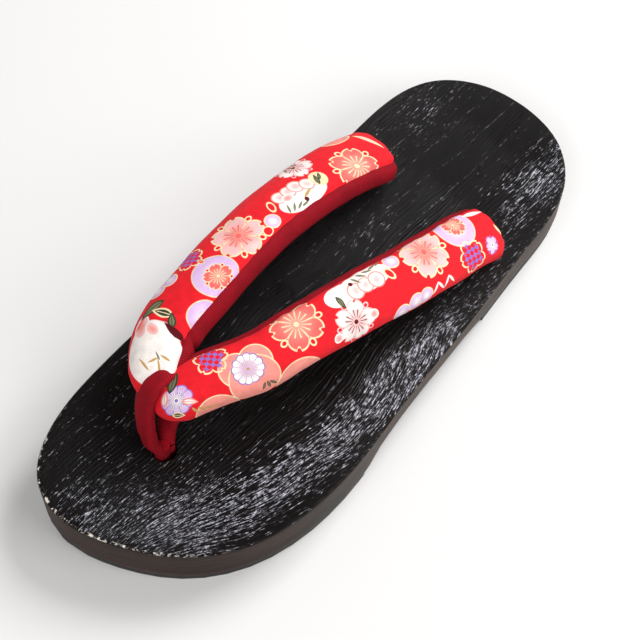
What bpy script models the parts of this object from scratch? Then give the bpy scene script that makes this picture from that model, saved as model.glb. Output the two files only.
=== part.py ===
"""A left geta sandal: carved wooden base, padded thong straps, front thong and rubber pads.

Metres, +X towards the toe, +Y towards the little toe, +Z up. The origin is on the floor, under the middle of the
base's outline. A place along the sandal is a share of LENGTH from the heel, a place across it is a share of WIDTH
from the middle, minus on the big toe's side.
"""
import math
from typing import NamedTuple

import bmesh
import bpy
import numpy as np
from mathutils import Vector

# Driving sizes of the wooden base
LENGTH = 0.240
WIDTH = 0.094
RIM_HEIGHT = 0.020           # rim of the footbed above the floor, at the toe
DISH_DEPTH = 0.0034          # how deep the footbed is carved at its deepest
ARRIS = 0.0009               # bevel along the rim
WALL_LEAN = 0.0010           # how far the wall leans in towards the floor, away from the big toe's side of the heel
FOOT_BEVEL = 0.0006          # bevel along the lower edge
ARCH_CLEARANCE = 0.0078      # underside of the waist above the floor
FRONT_BLOCK_END = 0.0345     # rear end of the front block, ahead of the middle
FRONT_BLOCK_RUN = 0.0105     # how long its sloping end is
HEEL_RECESS_WALL = 0.0017    # heel block left ahead of the foremost rear hole's recess
HEEL_BLOCK_RUN = 0.016
BLOCK_SKEW = -0.08           # the blocks' ends lie aslant: metres forward for each metre across
SKEW_REACH = 0.060           # the sections lie aslant this far from the middle
SKEW_FADE = 0.048            # and straighten over this length
TOE_LIFT = 0.0016            # how far the underside rises at the tip of the toe
TOE_LIFT_RUN = 0.035         # over which length

# Driving sizes of the rubber
FRONT_RUBBER = 0.0026
HEEL_RUBBER = 0.0046
RUBBER_INSET = 0.0004        # rubber's edge inside the wood's

# Driving sizes of the strap holes and knots
HOLE_RADIUS = 0.0045
RECESS_RADIUS = 0.0105
RECESS_DEPTH = 0.0060        # recess above the wood's underside
KNOT_CLEARANCE = 0.0025      # between a knot and its recess
KNOT_ROUNDING = 0.0016
GAP = 0.0003                 # between pieces that touch
SEAM_CLEARANCE = 1.2 * GAP   # between the straps' cover and lining

# Driving sizes of the straps
STRAP_WIDTH = 0.0255
STRAP_THICKNESS = 0.0138
STRAP_RISE = 0.030           # middle of the pad above the footbed where it stands highest
CROWN_SHARE = 0.56           # share of the thickness above the pad's widest line
PAD_ROUNDNESS = 0.86         # power of the pad's section: 1 is an ellipse, less is fuller
SMALLEST_SECTION = 0.3       # share of the full section that is left at an arm's tips
INNER_SEAM = math.radians(36.0)      # seam above the widest line on the side towards the foot's middle
OUTER_SEAM = math.radians(38.0)      # seam below the widest line on the outer side
NOSE_ROUNDING = 0.011        # length over which the pad rounds off at the V
END_ROUNDING = 0.0045        # and at its rear ends
TAIL_SETBACK = 0.0085        # a tail leaves the pad this far ahead of the pad's rear end

# Driving sizes of the front thong
THONG_WIDTH = 0.0100
THONG_THICKNESS = 0.0055
STRAND_OFFSET = 0.47         # in the hole: a strand's middle, width and thickness as shares of the hole's clear radius
STRAND_WIDTH = 1.14
STRAND_THICKNESS = 0.81
STRAND_DEPTH = 0.0030        # how far a strand is followed below the footbed
STRAND_STAND = 0.0014        # and how far above it the strand stands straight

# How finely the curved pieces are cut into sections
TIP_CUT = 0.00004            # left off at the base's tips, so that the end sections have a width
LEAST_SPACING = 0.0006       # between sections of the base
CUTTER_REACH = 3.0 * RIM_HEIGHT
SPLINE_STEPS = 24
TIP_STATIONS = 41
BLOCK_STATIONS = 5
FOOTBED_STRIPS = 14
ARM_STATIONS = 15
ROUNDING_STATIONS = 5
ARM_SIDES = 24
THONG_STATIONS = 34
THONG_SIDES = 10
ROUND_SIDES = 28
FINE_STEPS = 180


class Rim(NamedTuple):
    """A point of the footbed's rim."""
    along: float
    across: float
    height: float            # share of RIM_HEIGHT
    flare: float             # how far the wall below leans out towards the floor, share of WALL_LEAN


RIM = (
    Rim(1.000, -0.119, 1.12, -0.2),
    Rim(0.979, 0.084, 1.15, -0.2),
    Rim(0.925, 0.297, 1.13, -0.2),
    Rim(0.850, 0.437, 1.09, -0.2),
    Rim(0.717, 0.513, 1.13, -0.1),
    Rim(0.640, 0.504, 1.07, -0.1),
    Rim(0.542, 0.466, 0.98, -0.1),
    Rim(0.375, 0.419, 0.87, 0.0),
    Rim(0.188, 0.360, 0.87, 0.2),
    Rim(0.067, 0.289, 0.95, 0.0),
    Rim(0.014, 0.141, 1.00, -0.6),
    Rim(0.000, -0.050, 1.02, -0.8),
    Rim(0.014, -0.252, 1.05, 0.0),
    Rim(0.067, -0.422, 1.08, 1.6),
    Rim(0.208, -0.487, 1.08, 2.4),
    Rim(0.419, -0.459, 1.00, 0.8),
    Rim(0.630, -0.473, 1.02, -0.8),
    Rim(0.797, -0.460, 1.06, -0.8),
    Rim(0.922, -0.398, 1.10, -0.8),
    Rim(0.980, -0.294, 1.11, -0.8),
)


class Dish(NamedTuple):
    """How deep the footbed is carved at a place along it."""
    along: float
    depth: float             # share of DISH_DEPTH


DISH = (
    Dish(0.00, 0.0),
    Dish(0.08, 0.6),
    Dish(0.20, 1.0),
    Dish(0.35, 0.7),
    Dish(0.50, 0.4),
    Dish(0.70, 0.6),
    Dish(0.88, 0.5),
    Dish(1.00, 0.0),
)


class Pad(NamedTuple):
    """A section of a padded strap arm, from the V to its rear end."""
    along: float
    across: float
    lift: float              # middle of the pad above the footbed, share of STRAP_RISE
    roll: float              # degrees by which the outer edge hangs lower
    width: float             # share of STRAP_WIDTH
    thickness: float         # share of STRAP_THICKNESS


MEDIAL_ARM = (
    Pad(0.812, -0.136, 0.65, 2.0, 0.62, 0.98),
    Pad(0.785, -0.173, 0.77, 6.0, 0.74, 1.00),
    Pad(0.738, -0.254, 0.83, 12.0, 0.90, 1.00),
    Pad(0.667, -0.293, 0.87, 14.0, 0.96, 1.00),
    Pad(0.583, -0.320, 0.85, 16.0, 0.98, 1.00),
    Pad(0.500, -0.346, 0.77, 16.0, 1.00, 1.00),
    Pad(0.417, -0.356, 0.62, 14.0, 1.00, 1.00),
    Pad(0.333, -0.349, 0.44, 10.0, 1.00, 1.00),
    Pad(0.279, -0.340, 0.27, 6.0, 0.98, 1.00),
    Pad(0.238, -0.330, 0.12, 4.0, 0.94, 0.96),
)
LATERAL_ARM = (
    Pad(0.814, -0.108, 0.61, 2.0, 0.72, 0.94),
    Pad(0.782, -0.083, 0.73, 6.0, 0.76, 0.98),
    Pad(0.735, -0.034, 0.80, 10.0, 0.79, 1.00),
    Pad(0.667, 0.038, 0.83, 12.0, 0.81, 1.00),
    Pad(0.583, 0.089, 0.84, 14.0, 0.83, 1.00),
    Pad(0.500, 0.127, 0.78, 14.0, 0.86, 1.00),
    Pad(0.417, 0.163, 0.66, 14.0, 0.88, 1.00),
    Pad(0.333, 0.184, 0.48, 12.0, 0.89, 1.00),
    Pad(0.265, 0.198, 0.28, 8.0, 0.89, 1.00),
    Pad(0.222, 0.208, 0.12, 4.0, 0.86, 0.96),
)


class Loop(NamedTuple):
    """A point of the front thong above the footbed, from the hole over the V and back."""
    ahead: float             # ahead of the front hole, share of LENGTH
    aside: float             # beside it, share of WIDTH
    lift: float              # above the footbed, share of STRAP_RISE
    width: float             # share of THONG_WIDTH
    thickness: float         # share of THONG_THICKNESS


FRONT_HOLE = (0.825, -0.048)
THONG = (
    Loop(0.0100, -0.032, 0.15, 0.80, 0.90),
    Loop(0.0066, -0.067, 0.33, 0.98, 1.00),
    Loop(-0.0027, -0.093, 0.56, 1.00, 1.00),
    Loop(-0.0147, -0.107, 0.78, 1.00, 1.00),
    Loop(-0.0317, -0.107, 0.93, 0.94, 0.90),
    Loop(-0.0477, -0.097, 0.95, 0.80, 0.80),
    Loop(-0.0637, -0.085, 0.82, 0.66, 0.70),
    Loop(-0.0717, -0.071, 0.60, 0.62, 0.70),
    Loop(-0.0560, -0.078, 0.38, 0.78, 0.76),
    Loop(-0.0350, -0.058, 0.22, 0.80, 0.78),
    Loop(-0.0150, -0.022, 0.13, 0.60, 0.66),
)


# Curves

def cubic_through(values, closed):
    """Dense samples of the cubic curve through rows of numbers, SPLINE_STEPS to each stretch."""
    rows = np.array(values, dtype=float)
    count = len(rows)
    ends = np.roll(rows, -1, axis=0) if closed else rows[1:]
    spans = np.sqrt(((ends - rows[:len(ends)])[:, :2] ** 2).sum(axis=1))
    matrix = np.zeros((count, count))
    right = np.zeros_like(rows)
    for index in range(count):
        inner = closed or 0 < index < count - 1
        if not inner:
            matrix[index, index] = 1.0
            continue
        before, after = (index - 1) % count, (index + 1) % count
        left, ahead = spans[index - 1], spans[index]
        matrix[index, before] += left
        matrix[index, index] += 2.0 * (left + ahead)
        matrix[index, after] += ahead
        right[index] = 6.0 * ((rows[after] - rows[index]) / ahead - (rows[index] - rows[before]) / left)
    bend = np.linalg.solve(matrix, right)
    samples = []
    for index, span in enumerate(spans):
        after = (index + 1) % count
        for step in range(SPLINE_STEPS):
            t = step / SPLINE_STEPS
            s = 1.0 - t
            curve = (s ** 3 - s) * bend[index] + (t ** 3 - t) * bend[after]
            samples.append(s * rows[index] + t * rows[after] + curve * span * span / 6.0)
    if not closed:
        samples.append(rows[-1])
    return np.array(samples)


def travelled(samples):
    """Distance from the start of a sampled curve to each of its samples."""
    steps = np.sqrt((np.diff(samples[:, :3], axis=0) ** 2).sum(axis=1))
    return np.concatenate([[0.0], np.cumsum(steps)])


def at_distances(samples, places):
    """The rows of a sampled curve at distances from its start."""
    distances = travelled(samples)
    return np.array([[np.interp(place, distances, column) for column in samples.T] for place in places])


def along_to_x(along):
    """Metres ahead of the middle for a share of LENGTH from the heel."""
    return (along - 0.5) * LENGTH


RIM_CURVE = cubic_through(
    [(along_to_x(r.along), r.across * WIDTH, r.height * RIM_HEIGHT, r.flare * WALL_LEAN) for r in RIM], closed=True)


def one_side(lateral):
    """The rim's samples from the heel's tip to the toe's tip on one side, by rising x."""
    toe = int(np.argmax(RIM_CURVE[:, 0]))
    turned = np.roll(RIM_CURVE, -toe, axis=0)
    heel = int(np.argmin(turned[:, 0]))
    if lateral:
        return turned[:heel + 1][::-1]
    return np.vstack([turned[heel:], turned[:1]])


LATERAL_RIM = one_side(True)
MEDIAL_RIM = one_side(False)
HEEL_TIP = LATERAL_RIM[0, 0]
TOE_TIP = LATERAL_RIM[-1, 0]


def rim_at(side, x):
    """How far across and how high the rim stands at x on one side, and how far the wall below it flares."""
    return tuple(float(np.interp(x, side[:, 0], column)) for column in side.T[1:])


def footbed(x, y):
    """Height of the carved footbed."""
    low, low_height, _ = rim_at(MEDIAL_RIM, x)
    high, high_height, _ = rim_at(LATERAL_RIM, x)
    share = min(1.0, max(0.0, (y - low) / max(high - low, 1e-6)))
    depth = np.interp(x, [along_to_x(d.along) for d in DISH], [d.depth * DISH_DEPTH for d in DISH])
    hollow = 1.0 - (2.0 * share - 1.0) ** 2
    return low_height + share * (high_height - low_height) - depth * hollow


def smooth(share):
    """A step from 0 to 1 with soft ends."""
    share = min(1.0, max(0.0, share))
    return share * share * (3.0 - 2.0 * share)


def toe_lift(x):
    """How far the underside has risen at x."""
    share = max(0.0, (x - (LENGTH / 2 - TOE_LIFT_RUN)) / TOE_LIFT_RUN)
    return TOE_LIFT * share * share


def wood_underside(x):
    """Height of the wood's underside: front block, arch under the waist, heel block."""
    front = FRONT_RUBBER + GAP
    heel = HEEL_RUBBER + GAP
    if x > 0.0:
        share = smooth((x - (FRONT_BLOCK_END - FRONT_BLOCK_RUN)) / FRONT_BLOCK_RUN)
        return ARCH_CLEARANCE + share * (front - ARCH_CLEARANCE) + toe_lift(x)
    share = smooth((-x - (HEEL_BLOCK_START - HEEL_BLOCK_RUN)) / HEEL_BLOCK_RUN)
    return ARCH_CLEARANCE + share * (heel - ARCH_CLEARANCE)


# Sections along the sandal

def skewed_edge(side, x, inset):
    """Where a section through x, aslant by BLOCK_SKEW away from the tips, meets the rim on one side."""
    fade = 1.0 - smooth((abs(x) - SKEW_REACH) / SKEW_FADE)
    across = rim_at(side, x)[0]
    for _ in range(6):
        across = rim_at(side, x + BLOCK_SKEW * fade * across)[0]
    place = x + BLOCK_SKEW * fade * across
    inward = inset if side is MEDIAL_RIM else -inset
    return place, across + inward


def stations(first, last):
    """Places along the sandal: close together at the rounded tips and at the ends of the blocks."""
    angles = np.linspace(0.0, math.pi, TIP_STATIONS)
    middle = (HEEL_TIP + TOE_TIP) / 2
    reach = (TOE_TIP - HEEL_TIP) / 2
    places = [middle - reach * math.cos(a) for a in angles]
    for share in np.linspace(0.0, 1.0, BLOCK_STATIONS):
        places.append(FRONT_BLOCK_END - share * FRONT_BLOCK_RUN)
        places.append(-HEEL_BLOCK_START + share * HEEL_BLOCK_RUN)
    kept = [first]
    for place in sorted(places):
        if kept[-1] + LEAST_SPACING < place < last - LEAST_SPACING:
            kept.append(place)
    kept.append(last)
    return kept


def between(low, high, share):
    """The point at a share of the way between two points."""
    return tuple(a + share * (b - a) for a, b in zip(low, high))


def limited(size, low, high):
    """A bevel or lean no wider than a quarter of the section."""
    return min(size, 0.25 * abs(high[1] - low[1]))


def wall_foot(x, inset):
    """Where the base's wall ends below, on the medial and on the lateral side, moved in by an inset."""
    outer = [skewed_edge(side, x, 0.0) for side in (MEDIAL_RIM, LATERAL_RIM)]
    feet = []
    for side, place in zip((MEDIAL_RIM, LATERAL_RIM), outer):
        lean = limited(-rim_at(side, place[0])[2], *outer)
        feet.append(skewed_edge(side, x, lean + limited(inset, *outer)))
    return feet


def wood_section(x, top_gap=0.0):
    """The base's section at x, as points from the rim round by the wall and the underside."""
    outer = [skewed_edge(side, x, 0.0) for side in (MEDIAL_RIM, LATERAL_RIM)]
    bevel = limited(ARRIS, *outer)
    rims = [rim_at(side, place[0])[1] for side, place in zip((MEDIAL_RIM, LATERAL_RIM), outer)]
    low = wood_underside(x)
    medial, lateral = [skewed_edge(side, x, bevel) for side in (MEDIAL_RIM, LATERAL_RIM)]
    points = []
    for strip in range(FOOTBED_STRIPS + 1):
        place = between(medial, lateral, strip / FOOTBED_STRIPS)
        points.append((place[0], place[1], footbed(*place) + top_gap))
    wall = wall_foot(x, 0.0)
    sole = wall_foot(x, FOOT_BEVEL)
    points.append((*outer[1], rims[1] - bevel))
    points.append((*wall[1], low + FOOT_BEVEL))
    points.append((*sole[1], low))
    points.append((*sole[0], low))
    points.append((*wall[0], low + FOOT_BEVEL))
    points.append((*outer[0], rims[0] - bevel))
    return points


def slab_section(x, thickness):
    """A rubber sheet's section at x, under the wood and a little inside its edge."""
    medial, lateral = wall_foot(x, RUBBER_INSET)
    low = toe_lift(x)
    high = low + thickness
    return [(*medial, high), (*lateral, high), (*lateral, low), (*medial, low)]


# Making objects

def material(name, colour, roughness, coat=0.0):
    """A plain finish."""
    made = bpy.data.materials.new(name)
    made.use_nodes = True
    shader = made.node_tree.nodes["Principled BSDF"]
    shader.inputs["Base Color"].default_value = (*colour, 1.0)
    shader.inputs["Roughness"].default_value = roughness
    shader.inputs["Coat Weight"].default_value = coat
    made.diffuse_color = (*colour, 1.0)
    return made


def loft(name, *bodies):
    """Closed bodies in one object, each through sections of as many points."""
    mesh = bmesh.new()
    for sections in bodies:
        rings = [[mesh.verts.new(point) for point in section] for section in sections]
        for ring, following in zip(rings, rings[1:]):
            for index in range(len(ring)):
                after = (index + 1) % len(ring)
                mesh.faces.new((ring[index], ring[after], following[after], following[index]))
        mesh.faces.new(rings[0])
        mesh.faces.new(rings[-1])
    bmesh.ops.recalc_face_normals(mesh, faces=mesh.faces)
    bmesh.ops.triangulate(mesh, faces=mesh.faces)
    return add_object(name, mesh)


def add_object(name, mesh):
    """An object from a bmesh."""
    data = bpy.data.meshes.new(name)
    mesh.to_mesh(data)
    mesh.free()
    made = bpy.data.objects.new(name, data)
    bpy.context.scene.collection.objects.link(made)
    return made


def turned_sections(x, y, profile):
    """The rings of a turned body on an upright axis, from (radius, height) pairs from the bottom up."""
    sections = []
    for radius, height in profile:
        ring = []
        for side in range(ROUND_SIDES):
            angle = 2.0 * math.pi * (side + 0.5) / ROUND_SIDES
            ring.append((x + radius * math.cos(angle), y + radius * math.sin(angle), height))
        sections.append(ring)
    return sections


def turned(name, x, y, profile):
    """A turned body on an upright axis."""
    return loft(name, turned_sections(x, y, profile))


def cutter(made):
    """Mark an object as one that only shapes others."""
    made.hide_render = True
    made.display_type = "WIRE"
    return made


def boolean(target, other, operation, folded=False):
    """Join or cut a body with another; a folded body is one that may touch itself."""
    step = target.modifiers.new(f"{operation.lower()} {other.name}", "BOOLEAN")
    step.operation = operation
    step.solver = "EXACT"
    step.object = other
    step.use_self = folded


def finish(made, finish_material):
    """Give a piece its finish and soft shading."""
    made.data.materials.append(finish_material)
    made.data.shade_smooth()
    made.data.set_sharp_from_angle(angle=math.radians(40.0))


# Straps

def arm_samples(arm):
    """Even stations along a strap arm: place, roll, width and thickness."""
    rows = []
    for pad in arm:
        x, y = along_to_x(pad.along), pad.across * WIDTH
        rows.append((x, y, footbed(x, y) + pad.lift * STRAP_RISE, math.radians(pad.roll),
                     pad.width * STRAP_WIDTH, pad.thickness * STRAP_THICKNESS))
    curve = cubic_through(rows, closed=False)
    total = travelled(curve)[-1]
    ends = [1.0 - math.cos(math.pi / 2 * step / ROUNDING_STATIONS) for step in range(ROUNDING_STATIONS)]
    places = [NOSE_ROUNDING * share for share in ends]
    places += list(np.linspace(NOSE_ROUNDING, total - END_ROUNDING, ARM_STATIONS))
    places += [total - END_ROUNDING * share for share in reversed(ends)]
    return at_distances(curve, places)


def end_rounding(travelled, total):
    """How much of its full section the pad has at a place along it."""
    share = 1.0
    for distance, rounding in ((travelled, NOSE_ROUNDING), (total - travelled, END_ROUNDING)):
        if distance < rounding:
            share = min(share, math.sqrt(max(0.0, 1.0 - (1.0 - distance / rounding) ** 2)))
    return max(share, SMALLEST_SECTION)


def pad_point(angle, width, thickness):
    """A point of the pad's rounded section."""
    out, up = math.cos(angle), math.sin(angle)
    share = CROWN_SHARE if up > 0.0 else 1.0 - CROWN_SHARE
    return (width / 2 * math.copysign(abs(out) ** PAD_ROUNDNESS, out),
            thickness * share * math.copysign(abs(up) ** PAD_ROUNDNESS, up))


def cover_outline(width, thickness):
    """The printed part of the section: from the outer seam over the top to the inner seam."""
    first, last = -OUTER_SEAM, math.pi - INNER_SEAM
    count = ARM_SIDES * 2 // 3
    return [pad_point(first + (last - first) * step / count, width, thickness) for step in range(count + 1)]


def lining_outline(width, thickness):
    """The lining's part of the section: from the inner seam by the underside to the outer seam, clear of the cover."""
    outer = pad_point(-OUTER_SEAM, width, thickness)
    inner = pad_point(math.pi - INNER_SEAM, width, thickness)
    seam = math.dist(outer, inner)

    def below(point):
        """How far a point lies below the line between the seams."""
        return ((point[0] - inner[0]) * (outer[1] - inner[1]) - (point[1] - inner[1]) * (outer[0] - inner[0])) / seam

    first, last = math.pi - INNER_SEAM, 2.0 * math.pi - OUTER_SEAM
    step = (last - first) / FINE_STEPS
    angles = [first + step * index for index in range(FINE_STEPS + 1)]
    clear = [angle for angle in angles if below(pad_point(angle, width, thickness)) > SEAM_CLEARANCE]
    count = ARM_SIDES * 2 // 3
    first, last = clear[0], clear[-1]
    return [pad_point(first + (last - first) * index / count, width, thickness) for index in range(count + 1)]


SHARPEST_CORNER = 0.35       # one plus the cosine of the turn at a corner, which limits how far it is moved


def grown(outline, distance):
    """An outline that runs anticlockwise, moved outwards."""
    moved = []
    count = len(outline)
    for index, (x, y) in enumerate(outline):
        before, after = outline[index - 1], outline[(index + 1) % count]
        normals = []
        for start, end in ((before, (x, y)), ((x, y), after)):
            length = math.hypot(end[0] - start[0], end[1] - start[1])
            normals.append(((end[1] - start[1]) / length, (start[0] - end[0]) / length))
        total = (normals[0][0] + normals[1][0], normals[0][1] + normals[1][1])
        scale = distance / max(SHARPEST_CORNER, 1.0 + normals[0][0] * normals[1][0] + normals[0][1] * normals[1][1])
        moved.append((x + total[0] * scale, y + total[1] * scale))
    return moved


def arm_body(name, arm, outward, outline, growth=0.0):
    """A body along a strap arm, whose section is an outline of its width and thickness."""
    samples = arm_samples(arm)
    places = [Vector(row[:3]) for row in samples]
    steps = [0.0]
    for place, following in zip(places, places[1:]):
        steps.append(steps[-1] + (following - place).length)
    sections = []
    last = len(places) - 1
    for index, place in enumerate(places):
        forward = (places[min(index + 1, last)] - places[max(index - 1, 0)]).normalized()
        level = Vector((0.0, 0.0, 1.0)).cross(forward).normalized()
        if level.y * outward < 0.0:
            level = -level
        normal = forward.cross(level)
        if normal.z < 0.0:
            normal = -normal
        roll = samples[index][3]
        out = level * math.cos(roll) - normal * math.sin(roll)
        up = normal * math.cos(roll) + level * math.sin(roll)
        share = end_rounding(steps[index], steps[-1])
        shape = outline(samples[index][4] * share, samples[index][5] * share)
        centre = place.copy()
        if growth:
            shape = grown(shape, growth)
            if index in (0, last):
                centre += forward * (growth if index else -growth)
        sections.append([tuple(centre + out * a + up * b) for a, b in shape])
    return loft(name, sections)


def arms(name, outline, growth=0.0):
    """Both strap arms as one body."""
    joined = arm_body(name, MEDIAL_ARM, -1.0, outline, growth)
    other = cutter(arm_body(f"{name}_lateral_arm", LATERAL_ARM, 1.0, outline, growth))
    boolean(joined, other, "UNION")
    return joined


def rear_hole(arm):
    """Where a strap arm's tail goes into the base: x, y and the middle of the pad above."""
    rows = [(along_to_x(p.along), p.across * WIDTH, footbed(along_to_x(p.along), p.across * WIDTH)
             + p.lift * STRAP_RISE) for p in arm]
    curve = cubic_through(rows, closed=False)
    return tuple(at_distances(curve, [travelled(curve)[-1] - TAIL_SETBACK])[0])


# Front end of the heel block, behind the middle
HEEL_BLOCK_START = -max(rear_hole(arm)[0] for arm in (MEDIAL_ARM, LATERAL_ARM)) - RECESS_RADIUS - HEEL_RECESS_WALL


def front_hole():
    """Where the front thong goes into the base: x, y and the footbed's height."""
    x, y = along_to_x(FRONT_HOLE[0]), FRONT_HOLE[1] * WIDTH
    return x, y, footbed(x, y)


def strands(hole, ahead):
    """The thong's strand in the front hole, on its front side for 1 and on its rear side for -1, from below."""
    x, y, top = hole
    clear = HOLE_RADIUS - GAP
    return [(x + ahead * STRAND_OFFSET * clear, y, top + height, STRAND_WIDTH * clear, STRAND_THICKNESS * clear)
            for height in (-STRAND_DEPTH, STRAND_STAND)]


def thong_body(name, growth=0.0):
    """The front thong's band, from the hole over the V and back."""
    hole = front_hole()
    rows = strands(hole, 1.0)
    for loop in THONG:
        x, y = hole[0] + loop.ahead * LENGTH, hole[1] + loop.aside * WIDTH
        rows.append((x, y, footbed(x, y) + loop.lift * STRAP_RISE,
                     loop.width * THONG_WIDTH, loop.thickness * THONG_THICKNESS))
    rows += reversed(strands(hole, -1.0))
    curve = chord_curve(rows)
    samples = at_distances(curve, np.linspace(0.0, travelled(curve)[-1], THONG_STATIONS))
    places = [Vector(row[:3]) for row in samples]
    middle = sum(places, Vector()) / len(places)
    sections = []
    last = len(places) - 1
    for index, place in enumerate(places):
        forward = (places[min(index + 1, last)] - places[max(index - 1, 0)]).normalized()
        outwards = place - middle
        outwards = (outwards - forward * outwards.dot(forward)).normalized()
        across = forward.cross(outwards)
        ring = []
        for side in range(THONG_SIDES):
            angle = 2.0 * math.pi * side / THONG_SIDES
            wide = math.cos(angle) * (samples[index][3] / 2 + growth)
            thick = math.sin(angle) * (samples[index][4] / 2 + growth)
            ring.append(tuple(place + across * wide + outwards * thick))
        sections.append(ring)
    return loft(name, sections)


def chord_curve(rows):
    """A smooth curve through rows that also turn upwards, by their distance in space."""
    distance = [0.0]
    for row, following in zip(rows, rows[1:]):
        distance.append(distance[-1] + math.dist(row[:3], following[:3]))
    keyed = [(travelled, 0.0, *row) for travelled, row in zip(distance, rows)]
    return cubic_through(keyed, closed=False)[:, 2:]


def tail_profile(x, radius, top):
    """A cord's tail through the base and its knot in the recess below, as (radius, height) pairs."""
    floor = wood_underside(x) + GAP
    ceiling = wood_underside(x) + RECESS_DEPTH - GAP
    knot = RECESS_RADIUS - KNOT_CLEARANCE
    rounding = min(KNOT_ROUNDING, (ceiling - floor) / 3)
    return [(knot - 2 * rounding, floor), (knot, floor + rounding), (knot, ceiling - rounding),
            (knot - rounding, ceiling), (radius, ceiling), (radius, top)]


# The pieces

def make_base(finish_material):
    """The wooden base with its three strap holes."""
    base = loft("base", [wood_section(x) for x in stations(HEEL_TIP + TIP_CUT, TOE_TIP - TIP_CUT)])
    drills = [turned_sections(x, y, hole_profile(x)) for x, y, _ in hole_places().values()]
    boolean(base, cutter(loft("drills", *drills)), "DIFFERENCE")
    finish(base, finish_material)


def hole_places():
    """The three strap holes by name."""
    return {"front_hole": front_hole(), "medial_hole": rear_hole(MEDIAL_ARM), "lateral_hole": rear_hole(LATERAL_ARM)}


def hole_profile(x):
    """A strap hole with its recess, as (radius, height) pairs."""
    ceiling = wood_underside(x) + RECESS_DEPTH
    return [(RECESS_RADIUS, -CUTTER_REACH), (RECESS_RADIUS, ceiling), (HOLE_RADIUS, ceiling),
            (HOLE_RADIUS, CUTTER_REACH)]


def make_rubber(name, first, last, thickness, holes, finish_material):
    """A rubber sheet with round windows under the strap holes."""
    sheet = loft(name, [slab_section(x, thickness) for x in stations(first, last)])
    window = [(RECESS_RADIUS, -CUTTER_REACH), (RECESS_RADIUS, CUTTER_REACH)]
    windows = [turned_sections(*hole_places()[hole][:2], window) for hole in holes]
    boolean(sheet, cutter(loft(f"{name}_windows", *windows)), "DIFFERENCE")
    finish(sheet, finish_material)


def footbed_block():
    """All that lies under the footbed, up to a gap above it."""
    sections = []
    for x in stations(HEEL_TIP + TIP_CUT, TOE_TIP - TIP_CUT):
        section = wood_section(x, top_gap=GAP)
        top = section[:FOOTBED_STRIPS + 1]
        sections.append(top + [(top[-1][0], top[-1][1], -CUTTER_REACH), (top[0][0], top[0][1], -CUTTER_REACH)])
    return cutter(loft("below_footbed", sections))


def make_straps(cover_finish, lining_finish):
    """The printed cover and the crimson lining of the padded strap."""
    below = footbed_block()
    thong_room = cutter(thong_body("thong_room", GAP))
    cover_room = cutter(arms("cover_room", cover_outline, GAP))
    cover = arms("strap_cover", cover_outline)
    boolean(cover, thong_room, "DIFFERENCE")
    boolean(cover, below, "DIFFERENCE")
    lining = arms("strap_lining", lining_outline)
    boolean(lining, thong_room, "DIFFERENCE")
    boolean(lining, below, "DIFFERENCE")
    for name, arm in (("medial_tail", MEDIAL_ARM), ("lateral_tail", LATERAL_ARM)):
        x, y, top = rear_hole(arm)
        tail = cutter(turned(name, x, y, tail_profile(x, HOLE_RADIUS - GAP, top)))
        boolean(lining, tail, "UNION")
    boolean(lining, cover_room, "DIFFERENCE")
    finish(cover, cover_finish)
    finish(lining, lining_finish)


def make_thong(finish_material):
    """The front thong with its neck in the front hole and its knot below."""
    thong = thong_body("front_thong")
    x, y, top = front_hole()
    neck = cutter(turned("thong_neck", x, y, tail_profile(x, HOLE_RADIUS - GAP, top)))
    boolean(thong, neck, "UNION", folded=True)
    finish(thong, finish_material)


def main():
    """Build the sandal."""
    for old in list(bpy.data.objects):
        bpy.data.objects.remove(old, do_unlink=True)
    make_base(material("black_stained_wood", (0.012, 0.010, 0.009), 0.32, 0.5))
    rubber = material("black_rubber", (0.014, 0.013, 0.013), 0.7)
    make_rubber("front_rubber", FRONT_BLOCK_END, TOE_TIP - TIP_CUT, FRONT_RUBBER, ("front_hole",), rubber)
    make_rubber("heel_rubber", HEEL_TIP + TIP_CUT, -HEEL_BLOCK_START, HEEL_RUBBER,
                ("medial_hole", "lateral_hole"), rubber)
    make_straps(material("printed_red_cotton", (0.70, 0.02, 0.02), 0.75),
                material("crimson_ribbed_cotton", (0.30, 0.004, 0.012), 0.85))
    make_thong(material("crimson_cotton", (0.33, 0.004, 0.012), 0.8))


main()
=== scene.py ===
"""Finish and soft goods of a left geta sandal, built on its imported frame.

Metres, +X towards the toe, +Y towards the little toe, +Z up, origin on the floor. Finishes measure in millimetres.
"""

import logging
import math
from dataclasses import dataclass
from enum import Enum
from functools import partial
from typing import Callable, NamedTuple, Sequence

import bmesh
import bpy
import numpy as np
from mathutils import Matrix, Vector


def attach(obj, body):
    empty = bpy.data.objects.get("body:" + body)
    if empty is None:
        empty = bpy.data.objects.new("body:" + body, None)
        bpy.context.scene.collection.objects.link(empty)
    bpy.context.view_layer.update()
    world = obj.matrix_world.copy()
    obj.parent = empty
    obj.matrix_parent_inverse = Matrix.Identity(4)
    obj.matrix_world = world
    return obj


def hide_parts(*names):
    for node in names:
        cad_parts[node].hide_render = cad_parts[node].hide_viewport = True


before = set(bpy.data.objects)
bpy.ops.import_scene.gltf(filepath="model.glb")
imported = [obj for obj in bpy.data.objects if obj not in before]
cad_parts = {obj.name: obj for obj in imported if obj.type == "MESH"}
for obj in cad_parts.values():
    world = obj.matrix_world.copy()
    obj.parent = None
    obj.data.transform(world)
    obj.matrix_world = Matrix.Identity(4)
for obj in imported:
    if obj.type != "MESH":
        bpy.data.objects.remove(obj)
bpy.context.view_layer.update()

log = logging.getLogger("geta")
Colour = tuple[float, float, float]
MM = 0.001


# Numbers and curves

def paint(red: float, green: float, blue: float) -> Colour:
    """A colour from the three values that a paint program shows, 0 to 255."""
    return tuple(((c / 255 + 0.055) / 1.055) ** 2.4 if c > 10 else c / 255 / 12.92 for c in (red, green, blue))


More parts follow.
